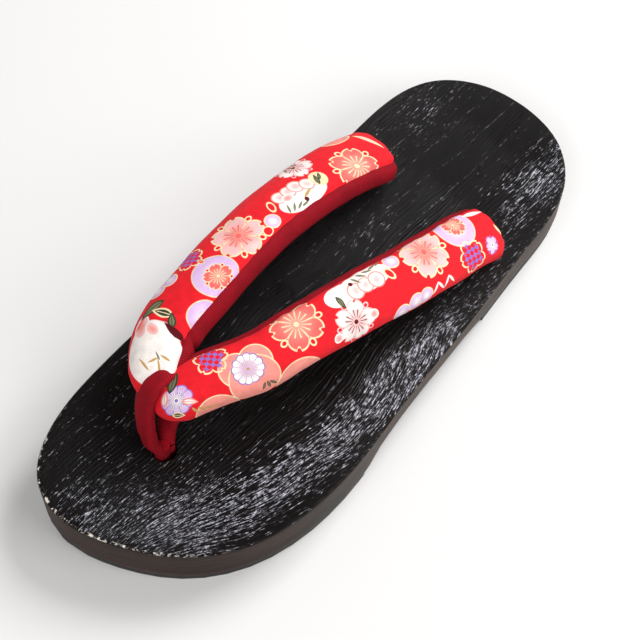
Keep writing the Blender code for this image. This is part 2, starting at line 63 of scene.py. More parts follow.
def smooth(share: np.ndarray) -> np.ndarray:
    """A step from 0 to 1 with soft ends."""
    share = np.clip(share, 0.0, 1.0)
    return share * share * (3.0 - 2.0 * share)


def ripple(place: np.ndarray, seed: int, waves: int = 7) -> np.ndarray:
    """Soft irregular waves about 0, a few units apart, along a line of places.

    Args:
        place: Places along the line, in units of the wave.
        seed: Chooses the waves.
        waves: How many waves are summed.

    Returns:
        Heights of about -1 to 1, as many as the places.
    """
    chance = np.random.default_rng(seed)
    total = np.zeros_like(place, dtype=float)
    for _ in range(waves):
        total += math.sqrt(2.0 / waves) * np.sin(place * chance.uniform(0.5, 1.7) + chance.uniform(0.0, 2.0 * math.pi))
    return total


def cubic_through(values: Sequence[Sequence[float]], closed: bool, keys: int = 2, steps: int = 24) -> np.ndarray:
    """Dense samples of the cubic curve through rows of numbers.

    Args:
        values: The rows; the first ones of each row are its place.
        closed: Whether the last row leads back to the first.
        keys: How many numbers of a row say how far apart two rows are.
        steps: Samples in each stretch.

    Returns:
        One row of numbers for each sample.
    """
    rows = np.array(values, dtype=float)
    count = len(rows)
    ends = np.roll(rows, -1, axis=0) if closed else rows[1:]
    spans = np.sqrt(((ends - rows[:len(ends)])[:, :keys] ** 2).sum(axis=1))
    matrix = np.zeros((count, count))
    right = np.zeros_like(rows)
    for index in range(count):
        if not closed and index in (0, count - 1):
            matrix[index, index] = 1.0
            continue
        before, after = (index - 1) % count, (index + 1) % count
        left, ahead = spans[index - 1], spans[index]
        matrix[index, before] += left
        matrix[index, index] += 2.0 * (left + ahead)
        matrix[index, after] += ahead
        right[index] = 6.0 * ((rows[after] - rows[index]) / ahead - (rows[index] - rows[before]) / left)
    bend = np.linalg.solve(matrix, right)
    samples = []
    for index, span in enumerate(spans):
        after = (index + 1) % count
        t = np.arange(steps)[:, None] / steps
        s = 1.0 - t
        curve = (s ** 3 - s) * bend[index] + (t ** 3 - t) * bend[after]
        samples.append(s * rows[index] + t * rows[after] + curve * span * span / 6.0)
    if not closed:
        samples.append(rows[-1:])
    return np.vstack(samples)


def travelled(samples: np.ndarray) -> np.ndarray:
    """Distance from the start of a sampled curve to each of its samples."""
    return np.concatenate([[0.0], np.cumsum(np.linalg.norm(np.diff(samples[:, :3], axis=0), axis=1))])


def at_distances(samples: np.ndarray, places: np.ndarray) -> np.ndarray:
    """The rows of a sampled curve at distances from its start."""
    distances = travelled(samples)
    return np.stack([np.interp(places, distances, column) for column in samples.T], axis=1)


def unit(vectors: np.ndarray) -> np.ndarray:
    """Vectors of length 1 in the same directions."""
    return vectors / np.maximum(np.linalg.norm(vectors, axis=-1, keepdims=True), 1e-12)


def nearest(points: np.ndarray, line: np.ndarray) -> np.ndarray:
    """Distance from each point to the nearest point of a line."""
    return np.sqrt(((points[:, None, :] - line[None]) ** 2).sum(axis=2)).min(axis=1)


# Meshes

def grid_faces(rows: int, columns: int, round_columns: bool) -> list[tuple[int, ...]]:
    """Quads over a grid of points.

    Args:
        rows: Rows of points.
        columns: Points in a row.
        round_columns: Whether a row's last point leads back to its first.

    Returns:
        Corners of each face, by the points' numbers.
    """
    row, column = np.meshgrid(np.arange(rows - 1), np.arange(columns if round_columns else columns - 1), indexing="ij")
    after = (column + 1) % columns
    corners = [row * columns + column, row * columns + after, (row + 1) * columns + after, (row + 1) * columns + column]
    return [tuple(face) for face in np.stack(corners, axis=-1).reshape(-1, 4).tolist()]


def tube_faces(rows: int, sides: int, start: int = 0) -> list[tuple[int, ...]]:
    """Quads round a tube whose points are numbered from a start, and a cap on each of its ends."""
    faces = grid_faces(rows, sides, True) + [tuple(range(sides)), tuple(range((rows - 1) * sides, rows * sides))]
    return [tuple(start + corner for corner in face) for face in faces]


def new_piece(name: str, points: np.ndarray, faces: list[tuple[int, ...]],
              sharp_over: float = 60.0) -> bpy.types.Object:
    """A shaded piece of the sandal, on its one body.

    Args:
        name: The piece's name.
        points: Its points, in rows of three.
        faces: Its faces.
        sharp_over: Degrees over which an edge stays sharp.

    Returns:
        The piece.
    """
    data = bpy.data.meshes.new(name)
    data.from_pydata(points.reshape(-1, 3).tolist(), [], faces)
    shell = bmesh.new()
    shell.from_mesh(data)
    bmesh.ops.recalc_face_normals(shell, faces=shell.faces)
    shell.to_mesh(data)
    shell.free()
    data.shade_smooth()
    data.set_sharp_from_angle(angle=math.radians(sharp_over))
    piece = bpy.data.objects.new(name, data)
    bpy.context.scene.collection.objects.link(piece)
    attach(piece, "root")
    return piece


def add_layer(piece: bpy.types.Object, name: str, values: np.ndarray) -> None:
    """Store a number or a vector at each point, for the finishes to read.

    Args:
        piece: The piece.
        name: The layer's name.
        values: One number, or one row of three, for each point.
    """
    kind, target = ("FLOAT", "value") if values.ndim == 1 else ("FLOAT_VECTOR", "vector")
    layer = piece.data.attributes.new(name, kind, "POINT")
    layer.data.foreach_set(target, np.ascontiguousarray(values, dtype=np.float32).ravel())


def points_of(piece: bpy.types.Object) -> np.ndarray:
    """A piece's points, in rows of three.

    Args:
        piece: The piece.

    Returns:
        The points.
    """
    points = np.empty(len(piece.data.vertices) * 3)
    piece.data.vertices.foreach_get("co", points)
    return points.reshape(-1, 3)


# Node graphs

class Graph:
    """A node tree, written as sums."""

    def __init__(self, tree: bpy.types.NodeTree) -> None:
        """Start from a tree."""
        self.tree = tree

    def node(self, kind: str, **settings: object) -> bpy.types.Node:
        """A new node with its settings.

        Args:
            kind: Its type.
            **settings: Its settings by name.

        Returns:
            The node.
        """
        made = self.tree.nodes.new(kind)
        for name, value in settings.items():
            setattr(made, name, value)
        return made

    def put(self, value: object, socket: bpy.types.NodeSocket) -> None:
        """Feed a socket with another node's output, or set its value.

        Args:
            value: Another node's output, or a number, a vector or a colour.
            socket: The socket.
        """
        if isinstance(value, bpy.types.NodeSocket):
            self.tree.links.new(value, socket)
        elif socket.type == "RGBA":
            socket.default_value = (*value, 1.0)
        else:
            socket.default_value = value

    def math(self, operation: str, *values: object, clamp: bool = False) -> bpy.types.NodeSocket:
        """A sum of numbers.

        Args:
            operation: What to do with them.
            *values: Numbers or outputs.
            clamp: Whether the result is kept between 0 and 1.

        Returns:
            The result.
        """
        made = self.node("ShaderNodeMath", operation=operation, use_clamp=clamp)
        for value, socket in zip(values, made.inputs):
            self.put(value, socket)
        return made.outputs[0]

    def vector(self, operation: str, *values: object) -> bpy.types.NodeSocket:
        """A sum of vectors.

        Args:
            operation: What to do with them.
            *values: Vectors or outputs.

        Returns:
            The result.
        """
        made = self.node("ShaderNodeVectorMath", operation=operation)
        for value, socket in zip(values, made.inputs):
            self.put(value, socket)
        return made.outputs[0]

    def reach(self, x: object, y: object) -> bpy.types.NodeSocket:
        """The length of a flat offset."""
        return self.math("SQRT", self.math("MULTIPLY_ADD", x, x, self.math("MULTIPLY", y, y)))

    def step(self, value: object, low: object, high: object, to_low: object = 0.0,
             to_high: object = 1.0) -> bpy.types.NodeSocket:
        """A soft step from one value to another while the input goes from low to high.

        Args:
            value: The input.
            low: Where the step starts.
            high: Where it ends.
            to_low: The result below it.
            to_high: The result above it.

        Returns:
            The result.
        """
        made = self.node("ShaderNodeMapRange", interpolation_type="SMOOTHSTEP")
        for given, name in ((value, "Value"), (low, "From Min"), (high, "From Max"), (to_low, "To Min"),
                            (to_high, "To Max")):
            self.put(given, made.inputs[name])
        return made.outputs[0]

    def mix(self, share: object, low: object, high: object, blend: str = "MIX") -> bpy.types.NodeSocket:
        """A colour between two colours.

        Args:
            share: How much of the second colour, 0 to 1.
            low: The first colour.
            high: The second colour.
            blend: How they are blended.

        Returns:
            The colour.
        """
        made = self.node("ShaderNodeMix", data_type="RGBA", blend_type=blend)
        for given, number in ((share, 0), (low, 6), (high, 7)):
            self.put(given, made.inputs[number])
        return made.outputs[2]

    def noise(self, place: object, scale: float, detail: float = 2.0, roughness: float = 0.5,
              warp: float = 0.0) -> bpy.types.NodeSocket:
        """Cloudy values of 0 to 1.

        Args:
            place: Where.
            scale: How small the clouds are.
            detail: How many finer layers there are.
            roughness: How strong these are.
            warp: How far the clouds are bent.

        Returns:
            The values.
        """
        made = self.node("ShaderNodeTexNoise")
        for given, name in ((place, "Vector"), (scale, "Scale"), (detail, "Detail"), (roughness, "Roughness"),
                            (warp, "Distortion")):
            self.put(given, made.inputs[name])
        return made.outputs["Fac"]

    def stretched(self, place: object, x: float, y: float, z: float) -> bpy.types.NodeSocket:
        """A place with each of its directions scaled."""
        return self.vector("MULTIPLY", place, (x, y, z))

    def parts(self, place: object) -> tuple[bpy.types.NodeSocket, ...]:
        """A vector's three numbers.

        Args:
            place: The vector.

        Returns:
            The numbers.
        """
        made = self.node("ShaderNodeSeparateXYZ")
        self.put(place, made.inputs[0])
        return tuple(made.outputs)

    def join(self, x: object, y: object, z: object = 0.0) -> bpy.types.NodeSocket:
        """A vector from three numbers.

        Args:
            x: The first number.
            y: The second.
            z: The third.

        Returns:
            The vector.
        """
        made = self.node("ShaderNodeCombineXYZ")
        for value, socket in zip((x, y, z), made.inputs):
            self.put(value, socket)
        return made.outputs[0]

    def layer(self, name: str, vector: bool = False) -> bpy.types.NodeSocket:
        """What a mesh layer holds."""
        return self.node("ShaderNodeAttribute", attribute_name=name).outputs["Vector" if vector else "Fac"]

    def place_mm(self) -> bpy.types.NodeSocket:
        """The place on the object, in millimetres."""
        return self.stretched(self.node("ShaderNodeTexCoord").outputs["Object"], 1 / MM, 1 / MM, 1 / MM)

    def use(self, group: bpy.types.NodeTree, **values: object) -> dict[str, bpy.types.NodeSocket]:
        """Place a node group.

        Args:
            group: The group.
            **values: Its inputs, with underscores for the spaces in their names.

        Returns:
            Its outputs by name.
        """
        made = self.node("ShaderNodeGroup", node_tree=group)
        for name, value in values.items():
            self.put(value, made.inputs[name.replace("_", " ")])
        return {socket.name: socket for socket in made.outputs}


class Kind(Enum):
    """What a group's socket carries."""

    NUMBER = "NodeSocketFloat"
    VECTOR = "NodeSocketVector"
    COLOUR = "NodeSocketColor"


class NodeGroup:
    """A node group while it is made."""

    def __init__(self, name: str, inputs: dict[str, Kind], outputs: dict[str, Kind]) -> None:
        """Make an empty group.

        Args:
            name: Its name.
            inputs: What goes in, by name.
            outputs: What comes out, by name.
        """
        self.tree = bpy.data.node_groups.new(name, "ShaderNodeTree")
        for title, kind in inputs.items():
            self.tree.interface.new_socket(title, in_out="INPUT", socket_type=kind.value)
        for title, kind in outputs.items():
            self.tree.interface.new_socket(title, in_out="OUTPUT", socket_type=kind.value)
        self.graph = Graph(self.tree)
        self.given = self.graph.node("NodeGroupInput").outputs
        self.result = self.graph.node("NodeGroupOutput").inputs

    def give(self, **values: bpy.types.NodeSocket) -> bpy.types.NodeTree:
        """Connect the outputs and hand over the group.

        Args:
            **values: The outputs, with underscores for the spaces in their names.

        Returns:
            The group.
        """
        for name, value in values.items():
            self.graph.put(value, self.result[name.replace("_", " ")])
        return self.tree


def grain_group() -> bpy.types.NodeTree:
    """Brushed wood: fine ridges along the grain, with painted glints as broken streaks and specks, and dotted lines
    along the rings, where the glint amount is high.

    Returns:
        The group.
    """
    made = NodeGroup("wood_grain", {"Grain": Kind.VECTOR, "Place": Kind.VECTOR, "Length": Kind.NUMBER},
                     {"Streaks": Kind.NUMBER, "Ridges": Kind.NUMBER, "Clouds": Kind.NUMBER, "Height": Kind.NUMBER})
    g, given = made.graph, made.given
    along, ring, glint_amount = g.parts(given["Grain"])
    wander = g.noise(g.stretched(given["Place"], 0.045, 0.11, 0.11), 1.0, 2.0)
    ring = g.math("MULTIPLY_ADD", wander, 3.4, ring)
    ridges = g.math("MULTIPLY_ADD", g.math("COSINE", g.math("MULTIPLY", ring, 2.0 * math.pi)), 0.5, 0.5)
    ridges = g.math("POWER", ridges, 1.4)
    line = g.join(g.math("DIVIDE", along, given["Length"]), g.math("MULTIPLY", ring, 1.9))
    streak = g.noise(line, 1.0, 2.0, 0.55)
    broken = g.noise(g.join(g.math("MULTIPLY", along, 0.45), g.math("MULTIPLY", ring, 0.8)), 1.0, 2.0, 0.6)
    clouds = g.noise(g.stretched(given["Place"], 0.10, 0.16, 0.16), 1.0, 3.0, 0.6)
    level = g.math("MULTIPLY_ADD", broken, 0.38, g.math("MULTIPLY", streak, 0.62))
    level = g.math("MULTIPLY_ADD", clouds, 0.16, level)
    # Painted glints: pale streaks where the noise passes a limit that falls as the glint amount rises, and dotted lines
    # along every thirteenth ring.
    limit = g.math("MULTIPLY_ADD", glint_amount, -0.118, 0.728)
    painted_glints = g.step(level, limit, g.math("ADD", limit, 0.06))
    ring_glints = g.step(g.math("COSINE", g.math("MULTIPLY", ring, 2.0 * math.pi / 13.0)), 0.982, 0.998)
    ring_glints = g.math("MULTIPLY", ring_glints, g.step(broken, 0.49, 0.58, 0.0, 0.3))
    painted_glints = g.math("MAXIMUM", painted_glints, ring_glints)
    height = g.math("MULTIPLY_ADD", streak, 0.8, g.math("MULTIPLY", ridges, 0.45))
    height = g.math("MULTIPLY_ADD", painted_glints, 0.25, height)
    return made.give(Streaks=painted_glints, Ridges=ridges, Clouds=clouds, Height=height)


def weave_group() -> bpy.types.NodeTree:
    """Cloth: crossing threads, heavier across the strap, with a soft crinkle.

    Returns:
        The group.
    """
    made = NodeGroup("weave", {"Cloth": Kind.VECTOR, "Rib": Kind.NUMBER, "Thread": Kind.NUMBER, "Crinkle": Kind.NUMBER},
                     {"Height": Kind.NUMBER, "Rib Shade": Kind.NUMBER})
    g, given = made.graph, made.given
    along, around, _ = g.parts(given["Cloth"])
    drift = g.math("MULTIPLY", g.noise(g.stretched(given["Cloth"], 0.12, 0.12, 0.12), 1.0, 2.0), 1.4)
    rib = g.math("SINE", g.math("DIVIDE", g.math("MULTIPLY", g.math("ADD", along, drift), 2.0 * math.pi), given["Rib"]))
    thread = g.math("SINE", g.math("DIVIDE", g.math("MULTIPLY", around, 2.0 * math.pi), given["Thread"]))
    crinkle = g.math("MULTIPLY", g.noise(given["Cloth"], 1.1, 3.0, 0.6), given["Crinkle"])
    woven = g.math("MULTIPLY_ADD", thread, 0.25, g.math("MULTIPLY", rib, 0.5))
    return made.give(Height=g.math("ADD", woven, crinkle), Rib_Shade=g.math("MULTIPLY_ADD", rib, 0.5, 0.5))


MOTIF = {"Under": Kind.COLOUR, "Place": Kind.VECTOR, "Centre": Kind.VECTOR, "Size": Kind.VECTOR, "Turn": Kind.NUMBER}
PETAL_SHAPE = dict.fromkeys(("Petals", "Lobe", "Notch"), Kind.NUMBER)


def motif_place(graph: Graph, given: object) -> tuple[bpy.types.NodeSocket, ...]:
    """A place on the cloth, seen from a motif that has a centre, a turn and a size.

    Args:
        graph: The group's nodes.
        given: The group's inputs by name.

    Returns:
        The place's three numbers, in shares of the motif's size.
    """
    offset = graph.vector("SUBTRACT", given["Place"], given["Centre"])
    back = graph.math("MULTIPLY", given["Turn"], -1.0)
    spin = graph.node("ShaderNodeVectorRotate", rotation_type="Z_AXIS")
    graph.put(offset, spin.inputs["Vector"])
    graph.put(back, spin.inputs["Angle"])
    return graph.parts(graph.vector("DIVIDE", spin.outputs[0], given["Size"]))


def petals_group() -> bpy.types.NodeTree:
    """A flower's outline: how deep a place lies inside it, and where it lies from its heart.

    Returns:
        The group.
    """
    made = NodeGroup("petals", {name: kind for name, kind in MOTIF.items() if name != "Under"} | PETAL_SHAPE,
                     {**dict.fromkeys(("Inside", "Radius", "Angle", "Cleft"), Kind.NUMBER), "Local": Kind.VECTOR})
    g, given = made.graph, made.given
    x, y, _ = motif_place(g, given)
    radius = g.reach(x, y)
    angle = g.math("ARCTAN2", y, x)
    lobe = g.math("ABSOLUTE", g.math("SINE", g.math("MULTIPLY", g.math("MULTIPLY", angle, given["Petals"]), 0.5)))
    edge = g.math("MULTIPLY_ADD", g.math("SUBTRACT", g.math("POWER", lobe, 0.6), 1.0), given["Lobe"], 1.0)
    edge = g.math("SUBTRACT", edge, g.math("MULTIPLY", g.step(lobe, 0.972, 1.0), given["Notch"]))
    return made.give(Inside=g.math("SUBTRACT", edge, radius), Radius=radius, Angle=angle, Cleft=lobe,
                     Local=g.join(x, y))


def blossom_group(petals: bpy.types.NodeTree) -> bpy.types.NodeTree:
    """A printed blossom: notched petals with a drawn edge, stamens, and small hearts between the petals.

    Args:
        petals: The group that gives a flower's outline.

    Returns:
        The group.
    """
    given_kinds = {**MOTIF, **PETAL_SHAPE, "Rays": Kind.NUMBER, "Hearts": Kind.NUMBER,
                   **dict.fromkeys(("Petal", "Heart", "Line", "Stamen", "Ground"), Kind.COLOUR)}
    made = NodeGroup("blossom", given_kinds, {"Colour": Kind.COLOUR})
    g, given = made.graph, made.given
    flower = g.use(petals, **{name: given[name] for name in ("Place", "Centre", "Size", "Turn", *PETAL_SHAPE)})
    radius, inside = flower["Radius"], flower["Inside"]
    petal = g.mix(g.step(radius, 0.15, 0.8), given["Heart"], given["Petal"])
    split = g.math("MULTIPLY", g.step(flower["Cleft"], 0.07, 0.16, 1.0, 0.0), g.step(radius, 0.26, 0.4))
    comb = g.math("COSINE", g.math("MULTIPLY", flower["Angle"], given["Rays"]))
    stalk = g.math("MULTIPLY", g.step(comb, 0.5, 0.85), g.math("MULTIPLY", g.step(radius, 0.5, 0.55, 1.0, 0.0),
                                                              g.step(radius, 0.12, 0.2)))
    between = g.math("PINGPONG", flower["Angle"], g.math("DIVIDE", math.pi, given["Petals"]))
    out = g.math("DIVIDE", g.math("SUBTRACT", g.math("MULTIPLY", radius, g.math("COSINE", between)), 0.84), 0.16)
    aside = g.math("DIVIDE", g.math("MULTIPLY", radius, g.math("SINE", between)), 0.125)
    heart = g.reach(out, aside)
    drawn = g.mix(g.math("MAXIMUM", stalk, g.step(radius, 0.09, 0.12, 1.0, 0.0)), petal, given["Stamen"])
    drawn = g.mix(g.math("MAXIMUM", g.step(inside, 0.05, 0.085, 1.0, 0.0), split), drawn, given["Line"])
    drawn = g.mix(g.step(inside, -0.015, 0.015), given["Under"], drawn)
    mark = g.mix(g.step(heart, 0.5, 0.62), given["Ground"], given["Line"])
    shown = g.math("MULTIPLY", g.step(heart, 0.94, 1.04, 1.0, 0.0), given["Hearts"])
    return made.give(Colour=g.mix(shown, drawn, mark))


def checked_group(petals: bpy.types.NodeTree) -> bpy.types.NodeTree:
    """A small printed blossom filled with checks.

    Args:
        petals: The group that gives a flower's outline.

    Returns:
        The group.
    """
    made = NodeGroup("checked_blossom", {**MOTIF, "Line": Kind.COLOUR, "Fill": Kind.COLOUR}, {"Colour": Kind.COLOUR})
    g, given = made.graph, made.given
    flower = g.use(petals, **{name: given[name] for name in ("Place", "Centre", "Size", "Turn")},
                   Petals=5.0, Lobe=0.30, Notch=0.10)
    x, y, _ = g.parts(flower["Local"])
    checks = g.math("MULTIPLY", g.math("SINE", g.math("MULTIPLY", g.math("ADD", x, y), 9.5)),
                    g.math("SINE", g.math("MULTIPLY", g.math("SUBTRACT", x, y), 9.5)))
    filled = g.math("MULTIPLY", g.step(checks, -0.06, 0.06), g.step(flower["Inside"], 0.22, 0.27))
    inside = flower["Inside"]
    edge = g.math("MULTIPLY", g.step(inside, 0.0, 0.03), g.step(inside, 0.11, 0.14, 1.0, 0.0))
    drawn = g.mix(filled, given["Under"], given["Fill"])
    return made.give(Colour=g.mix(edge, drawn, given["Line"]))


def disc_group() -> bpy.types.NodeTree:
    """A printed round or oval with a blushed middle and a drawn edge.

    Returns:
        The group.
    """
    made = NodeGroup("round", {**MOTIF, "Edge": Kind.NUMBER, "Fill": Kind.COLOUR, "Heart": Kind.COLOUR,
                               "Line": Kind.COLOUR}, {"Colour": Kind.COLOUR})
    g, given = made.graph, made.given
    x, y, _ = motif_place(g, given)
    radius = g.reach(x, y)
    drawn = g.mix(g.step(radius, 0.05, 0.75), given["Heart"], given["Fill"])
    drawn = g.mix(g.step(radius, given["Edge"], g.math("ADD", given["Edge"], 0.04)), drawn, given["Line"])
    return made.give(Colour=g.mix(g.step(radius, 0.98, 1.02, 1.0, 0.0), given["Under"], drawn))


def leaf_group() -> bpy.types.NodeTree:
    """A printed leaf, petal or stroke with a drawn edge.

    Returns:
        The group.
    """
    made = NodeGroup("leaf", {**MOTIF, "Edge": Kind.NUMBER, "Fill": Kind.COLOUR, "Line": Kind.COLOUR},
                     {"Colour": Kind.COLOUR})
    g, given = made.graph, made.given
    x, y, _ = motif_place(g, given)
    taper = g.math("MAXIMUM", g.math("MULTIPLY_ADD", x, -0.3, 0.95), 0.3)
    belly = g.math("MULTIPLY", g.math("SUBTRACT", 1.0, g.math("MULTIPLY", x, x)), taper)
    inside = g.math("SUBTRACT", belly, g.math("ABSOLUTE", y))
    vein = g.math("MULTIPLY", g.step(g.math("ABSOLUTE", y), 0.05, 0.12, 1.0, 0.0), g.step(x, 0.4, 0.6, 1.0, 0.0))
    drawn = g.mix(g.math("MAXIMUM", vein, g.step(inside, given["Edge"], g.math("ADD", given["Edge"], 0.1), 1.0, 0.0)),
                  given["Fill"], given["Line"])
    return made.give(Colour=g.mix(g.step(inside, -0.04, 0.04), given["Under"], drawn))


class Groups:
    """The node groups that the finishes share."""

    def __init__(self) -> None:
        """Build each group once."""
        self.grain = grain_group()
        self.weave = weave_group()
        petals = petals_group()
        self.blossom = blossom_group(petals)
        self.checked = checked_group(petals)
        self.disc = disc_group()
        self.leaf = leaf_group()


# Finishes

class Finish:
    """A finish that can be put on pieces."""

    name = "finish"

    def material(self, groups: Groups) -> bpy.types.Material:
        """Build the finish.

        Args:
            groups: The shared node groups.

        Returns:
            The material.
        """
        made = bpy.data.materials.new(self.name)
        made.use_nodes = True
        graph = Graph(made.node_tree)
        shader = made.node_tree.nodes["Principled BSDF"]
        self.dress(graph, shader, groups)
        made.diffuse_color = tuple(shader.inputs["Base Color"].default_value)
        return made

    def dress(self, graph: Graph, shader: bpy.types.Node, groups: Groups) -> None:
        """Connect the finish to its shader."""
        raise NotImplementedError


def bump(graph: Graph, shader: bpy.types.Node, height: bpy.types.NodeSocket, depth_mm: float,
         strength: float = 1.0) -> None:
    """Give a shader a relief.

    Args:
        graph: The material's nodes.
        shader: Its shader.
        height: The relief, 0 to about 1.
        depth_mm: How deep a height of 1 is.
        strength: How far the light follows it.
    """
    made = graph.node("ShaderNodeBump")
    made.inputs["Distance"].default_value = depth_mm * MM
    made.inputs["Strength"].default_value = strength
    graph.put(height, made.inputs["Height"])
    graph.put(made.outputs[0], shader.inputs["Normal"])


@dataclass(frozen=True)
class BlackFootbed(Finish):
    """Burnt, brushed and lacquered wood: black, with painted glints as pale broken streaks along the ridges, worn bare
    in chips along the rim.
    """

    name: str = "black_stained_wood"
    black: Colour = paint(9, 7, 7)
    raised_black: Colour = paint(24, 19, 18)
    # The bright and the dim colour of the painted glints.
    painted_glint: Colour = paint(196, 196, 206)
    dim_painted_glint: Colour = paint(80, 78, 84)
    bare_wood: Colour = paint(226, 218, 208)
    streak_mm: float = 6.5
    chips_from_mm: tuple[float, float] = (84.0, 116.0)
    specular: float = 0.14
    relief_mm: float = 0.22

    def dress(self, graph: Graph, shader: bpy.types.Node, groups: Groups) -> None:
        """Connect the finish to its shader.

        Args:
            graph: The material's nodes.
            shader: Its shader.
            groups: The shared node groups.
        """
        place = graph.place_mm()
        grain = graph.use(groups.grain, Grain=graph.layer("grain", vector=True), Place=place,
                          Length=self.streak_mm)
        ground = graph.mix(graph.math("MULTIPLY", grain["Ridges"], grain["Clouds"]), self.black, self.raised_black)
        # Painted glints: pale streaks over the black, brighter or dimmer by a noise.
        glint = graph.noise(graph.stretched(place, 0.7, 1.9, 1.9), 1.0, 2.0, 0.7)
        painted_glint = graph.mix(graph.step(glint, 0.42, 0.62), self.dim_painted_glint, self.painted_glint)
        ground = graph.mix(grain["Streaks"], ground, painted_glint)
        specks = graph.noise(graph.stretched(place, 0.5, 0.5, 1.0), 1.0, 3.0, 0.7)
        chips = graph.math("MULTIPLY", graph.step(specks, 0.54, 0.6), graph.step(graph.layer("rim"), 0.35, 0.6))
        chips = graph.math("MULTIPLY", chips, graph.step(graph.parts(place)[0], *self.chips_from_mm))
        graph.put(graph.mix(chips, ground, self.bare_wood), shader.inputs["Base Color"])
        graph.put(graph.step(grain["Clouds"], 0.35, 0.7, 0.42, 0.26), shader.inputs["Roughness"])
        shader.inputs["Specular IOR Level"].default_value = self.specular
        bump(graph, shader, grain["Height"], self.relief_mm)


@dataclass(frozen=True)
class StainedWall(Finish):
    """The board's side: dark walnut stain over fine lengthwise grain, paler towards the heel."""

    name: str = "stained_wall"
    dark: Colour = paint(16, 7, 3)
    light: Colour = paint(56, 31, 17)
    pale_dark: Colour = paint(28, 18, 13)
    pale: Colour = paint(84, 66, 56)
    paling_mm: tuple[float, float] = (-5.0, 75.0)
    specular: float = 0.1
    relief_mm: float = 0.16

    def dress(self, graph: Graph, shader: bpy.types.Node, groups: Groups) -> None:
        """Connect the finish to its shader.

        Args:
            graph: The material's nodes.
            shader: Its shader.
            groups: The shared node groups; not used here.
        """
        place = graph.place_mm()
        fine = graph.noise(graph.stretched(place, 0.05, 0.05, 1.9), 1.0, 4.0, 0.65)
        cloud = graph.noise(graph.stretched(place, 0.03, 0.03, 0.2), 1.0, 2.0)
        streak = graph.step(graph.math("MULTIPLY_ADD", cloud, 0.4, graph.math("MULTIPLY", fine, 0.7)), 0.4, 0.72)
        rear = graph.step(graph.parts(place)[0], *self.paling_mm, 1.0, 0.0)
        front_wall = graph.mix(streak, self.dark, self.light)
        rear_wall = graph.mix(streak, self.pale_dark, self.pale)
        graph.put(graph.mix(rear, front_wall, rear_wall), shader.inputs["Base Color"])
        graph.put(graph.step(fine, 0.3, 0.7, 0.36, 0.5), shader.inputs["Roughness"])
        shader.inputs["Specular IOR Level"].default_value = self.specular
        bump(graph, shader, fine, self.relief_mm)


@dataclass(frozen=True)
class BlackRubber(Finish):
    """Moulded sheet rubber, finely pebbled and a little scuffed."""

    name: str = "black_rubber"
    black: Colour = paint(20, 19, 19)
    scuffed: Colour = paint(62, 59, 57)
    pebbles_a_mm: float = 1.3
    relief_mm: float = 0.12
    relief_strength: float = 0.7

    def dress(self, graph: Graph, shader: bpy.types.Node, groups: Groups) -> None:
        """Connect the finish to its shader.

        Args:
            graph: The material's nodes.
            shader: Its shader.
            groups: The shared node groups; not used here.
        """
        place = graph.place_mm()
        cloud = graph.noise(place, 0.06, 4.0, 0.6)
        graph.put(graph.mix(graph.step(cloud, 0.5, 0.8), self.black, self.scuffed), shader.inputs["Base Color"])
        graph.put(graph.step(cloud, 0.3, 0.7, 0.5, 0.72), shader.inputs["Roughness"])
        pebbles = graph.node("ShaderNodeTexVoronoi")
        graph.put(place, pebbles.inputs["Vector"])
        pebbles.inputs["Scale"].default_value = self.pebbles_a_mm
        bump(graph, shader, pebbles.outputs["Distance"], self.relief_mm, self.relief_strength)


@dataclass(frozen=True)
class RibbedCotton(Finish):
    """Crimson cotton with fine ribs across the strap."""

    name: str = "crimson_ribbed_cotton"
    deep: Colour = paint(92, 2, 14)
    bright: Colour = paint(164, 4, 26)
    sheen_tint: Colour = paint(235, 60, 80)
    rib_mm: float = 0.72
    thread_mm: float = 0.4
    crinkle: float = 0.5
    roughness: float = 0.85
    specular: float = 0.2
    sheen: float = 0.08
    relief_mm: float = 0.09

    def dress(self, graph: Graph, shader: bpy.types.Node, groups: Groups) -> None:
        """Connect the finish to its shader.

        Args:
            graph: The material's nodes.
            shader: Its shader.
            groups: The shared node groups.
        """
        cloth = graph.layer("cloth", vector=True)
        weave = graph.use(groups.weave, Cloth=cloth, Rib=self.rib_mm, Thread=self.thread_mm, Crinkle=self.crinkle)
        cloud = graph.noise(cloth, 0.15, 2.0)
        shade = graph.math("MULTIPLY_ADD", weave["Rib Shade"], 0.6, graph.math("MULTIPLY", cloud, 0.5))
        graph.put(graph.mix(graph.step(shade, 0.1, 0.9), self.deep, self.bright), shader.inputs["Base Color"])
        shader.inputs["Roughness"].default_value = self.roughness
        shader.inputs["Specular IOR Level"].default_value = self.specular
        shader.inputs["Sheen Weight"].default_value = self.sheen
        shader.inputs["Sheen Tint"].default_value = (*self.sheen_tint, 1.0)
        bump(graph, shader, weave["Height"], self.relief_mm)


@dataclass(frozen=True)
class ThongCotton(RibbedCotton):
    """The same cotton, folded tightly for the front thong."""

    name: str = "crimson_cotton"
    bright: Colour = paint(172, 5, 28)
    rib_mm: float = 0.55


class Arm(Enum):
    """The strap arms, by the side that each goes down on."""

    MEDIAL = -1
    LATERAL = 1


class Shape(Enum):
    """The printed motifs."""

    BLOSSOM = "blossom"
    CHECKED = "checked blossom"
    ROUND = "round"
    LEAF = "leaf"


class Inks(NamedTuple):
    """The colours of a motif: body, heart, drawn edge and stamens."""

    body: Colour
    heart: Colour
    line: Colour
    stamen: Colour


def one_ink(colour: Colour) -> Inks:
    """A motif of one colour, without a drawn edge."""
    return Inks(colour, colour, colour, colour)


CREAM, WHITE, CORAL = paint(246, 224, 180), paint(250, 240, 234), paint(240, 104, 98)
GROUND, SALMON, PINK = paint(232, 22, 36), paint(246, 150, 138), paint(250, 196, 194)
LILAC, PURPLE, MOSS = paint(222, 186, 230), paint(140, 112, 196), paint(124, 124, 92)
FOREST, WINE, GOLD = paint(52, 60, 38), paint(96, 4, 18), paint(196, 160, 96)

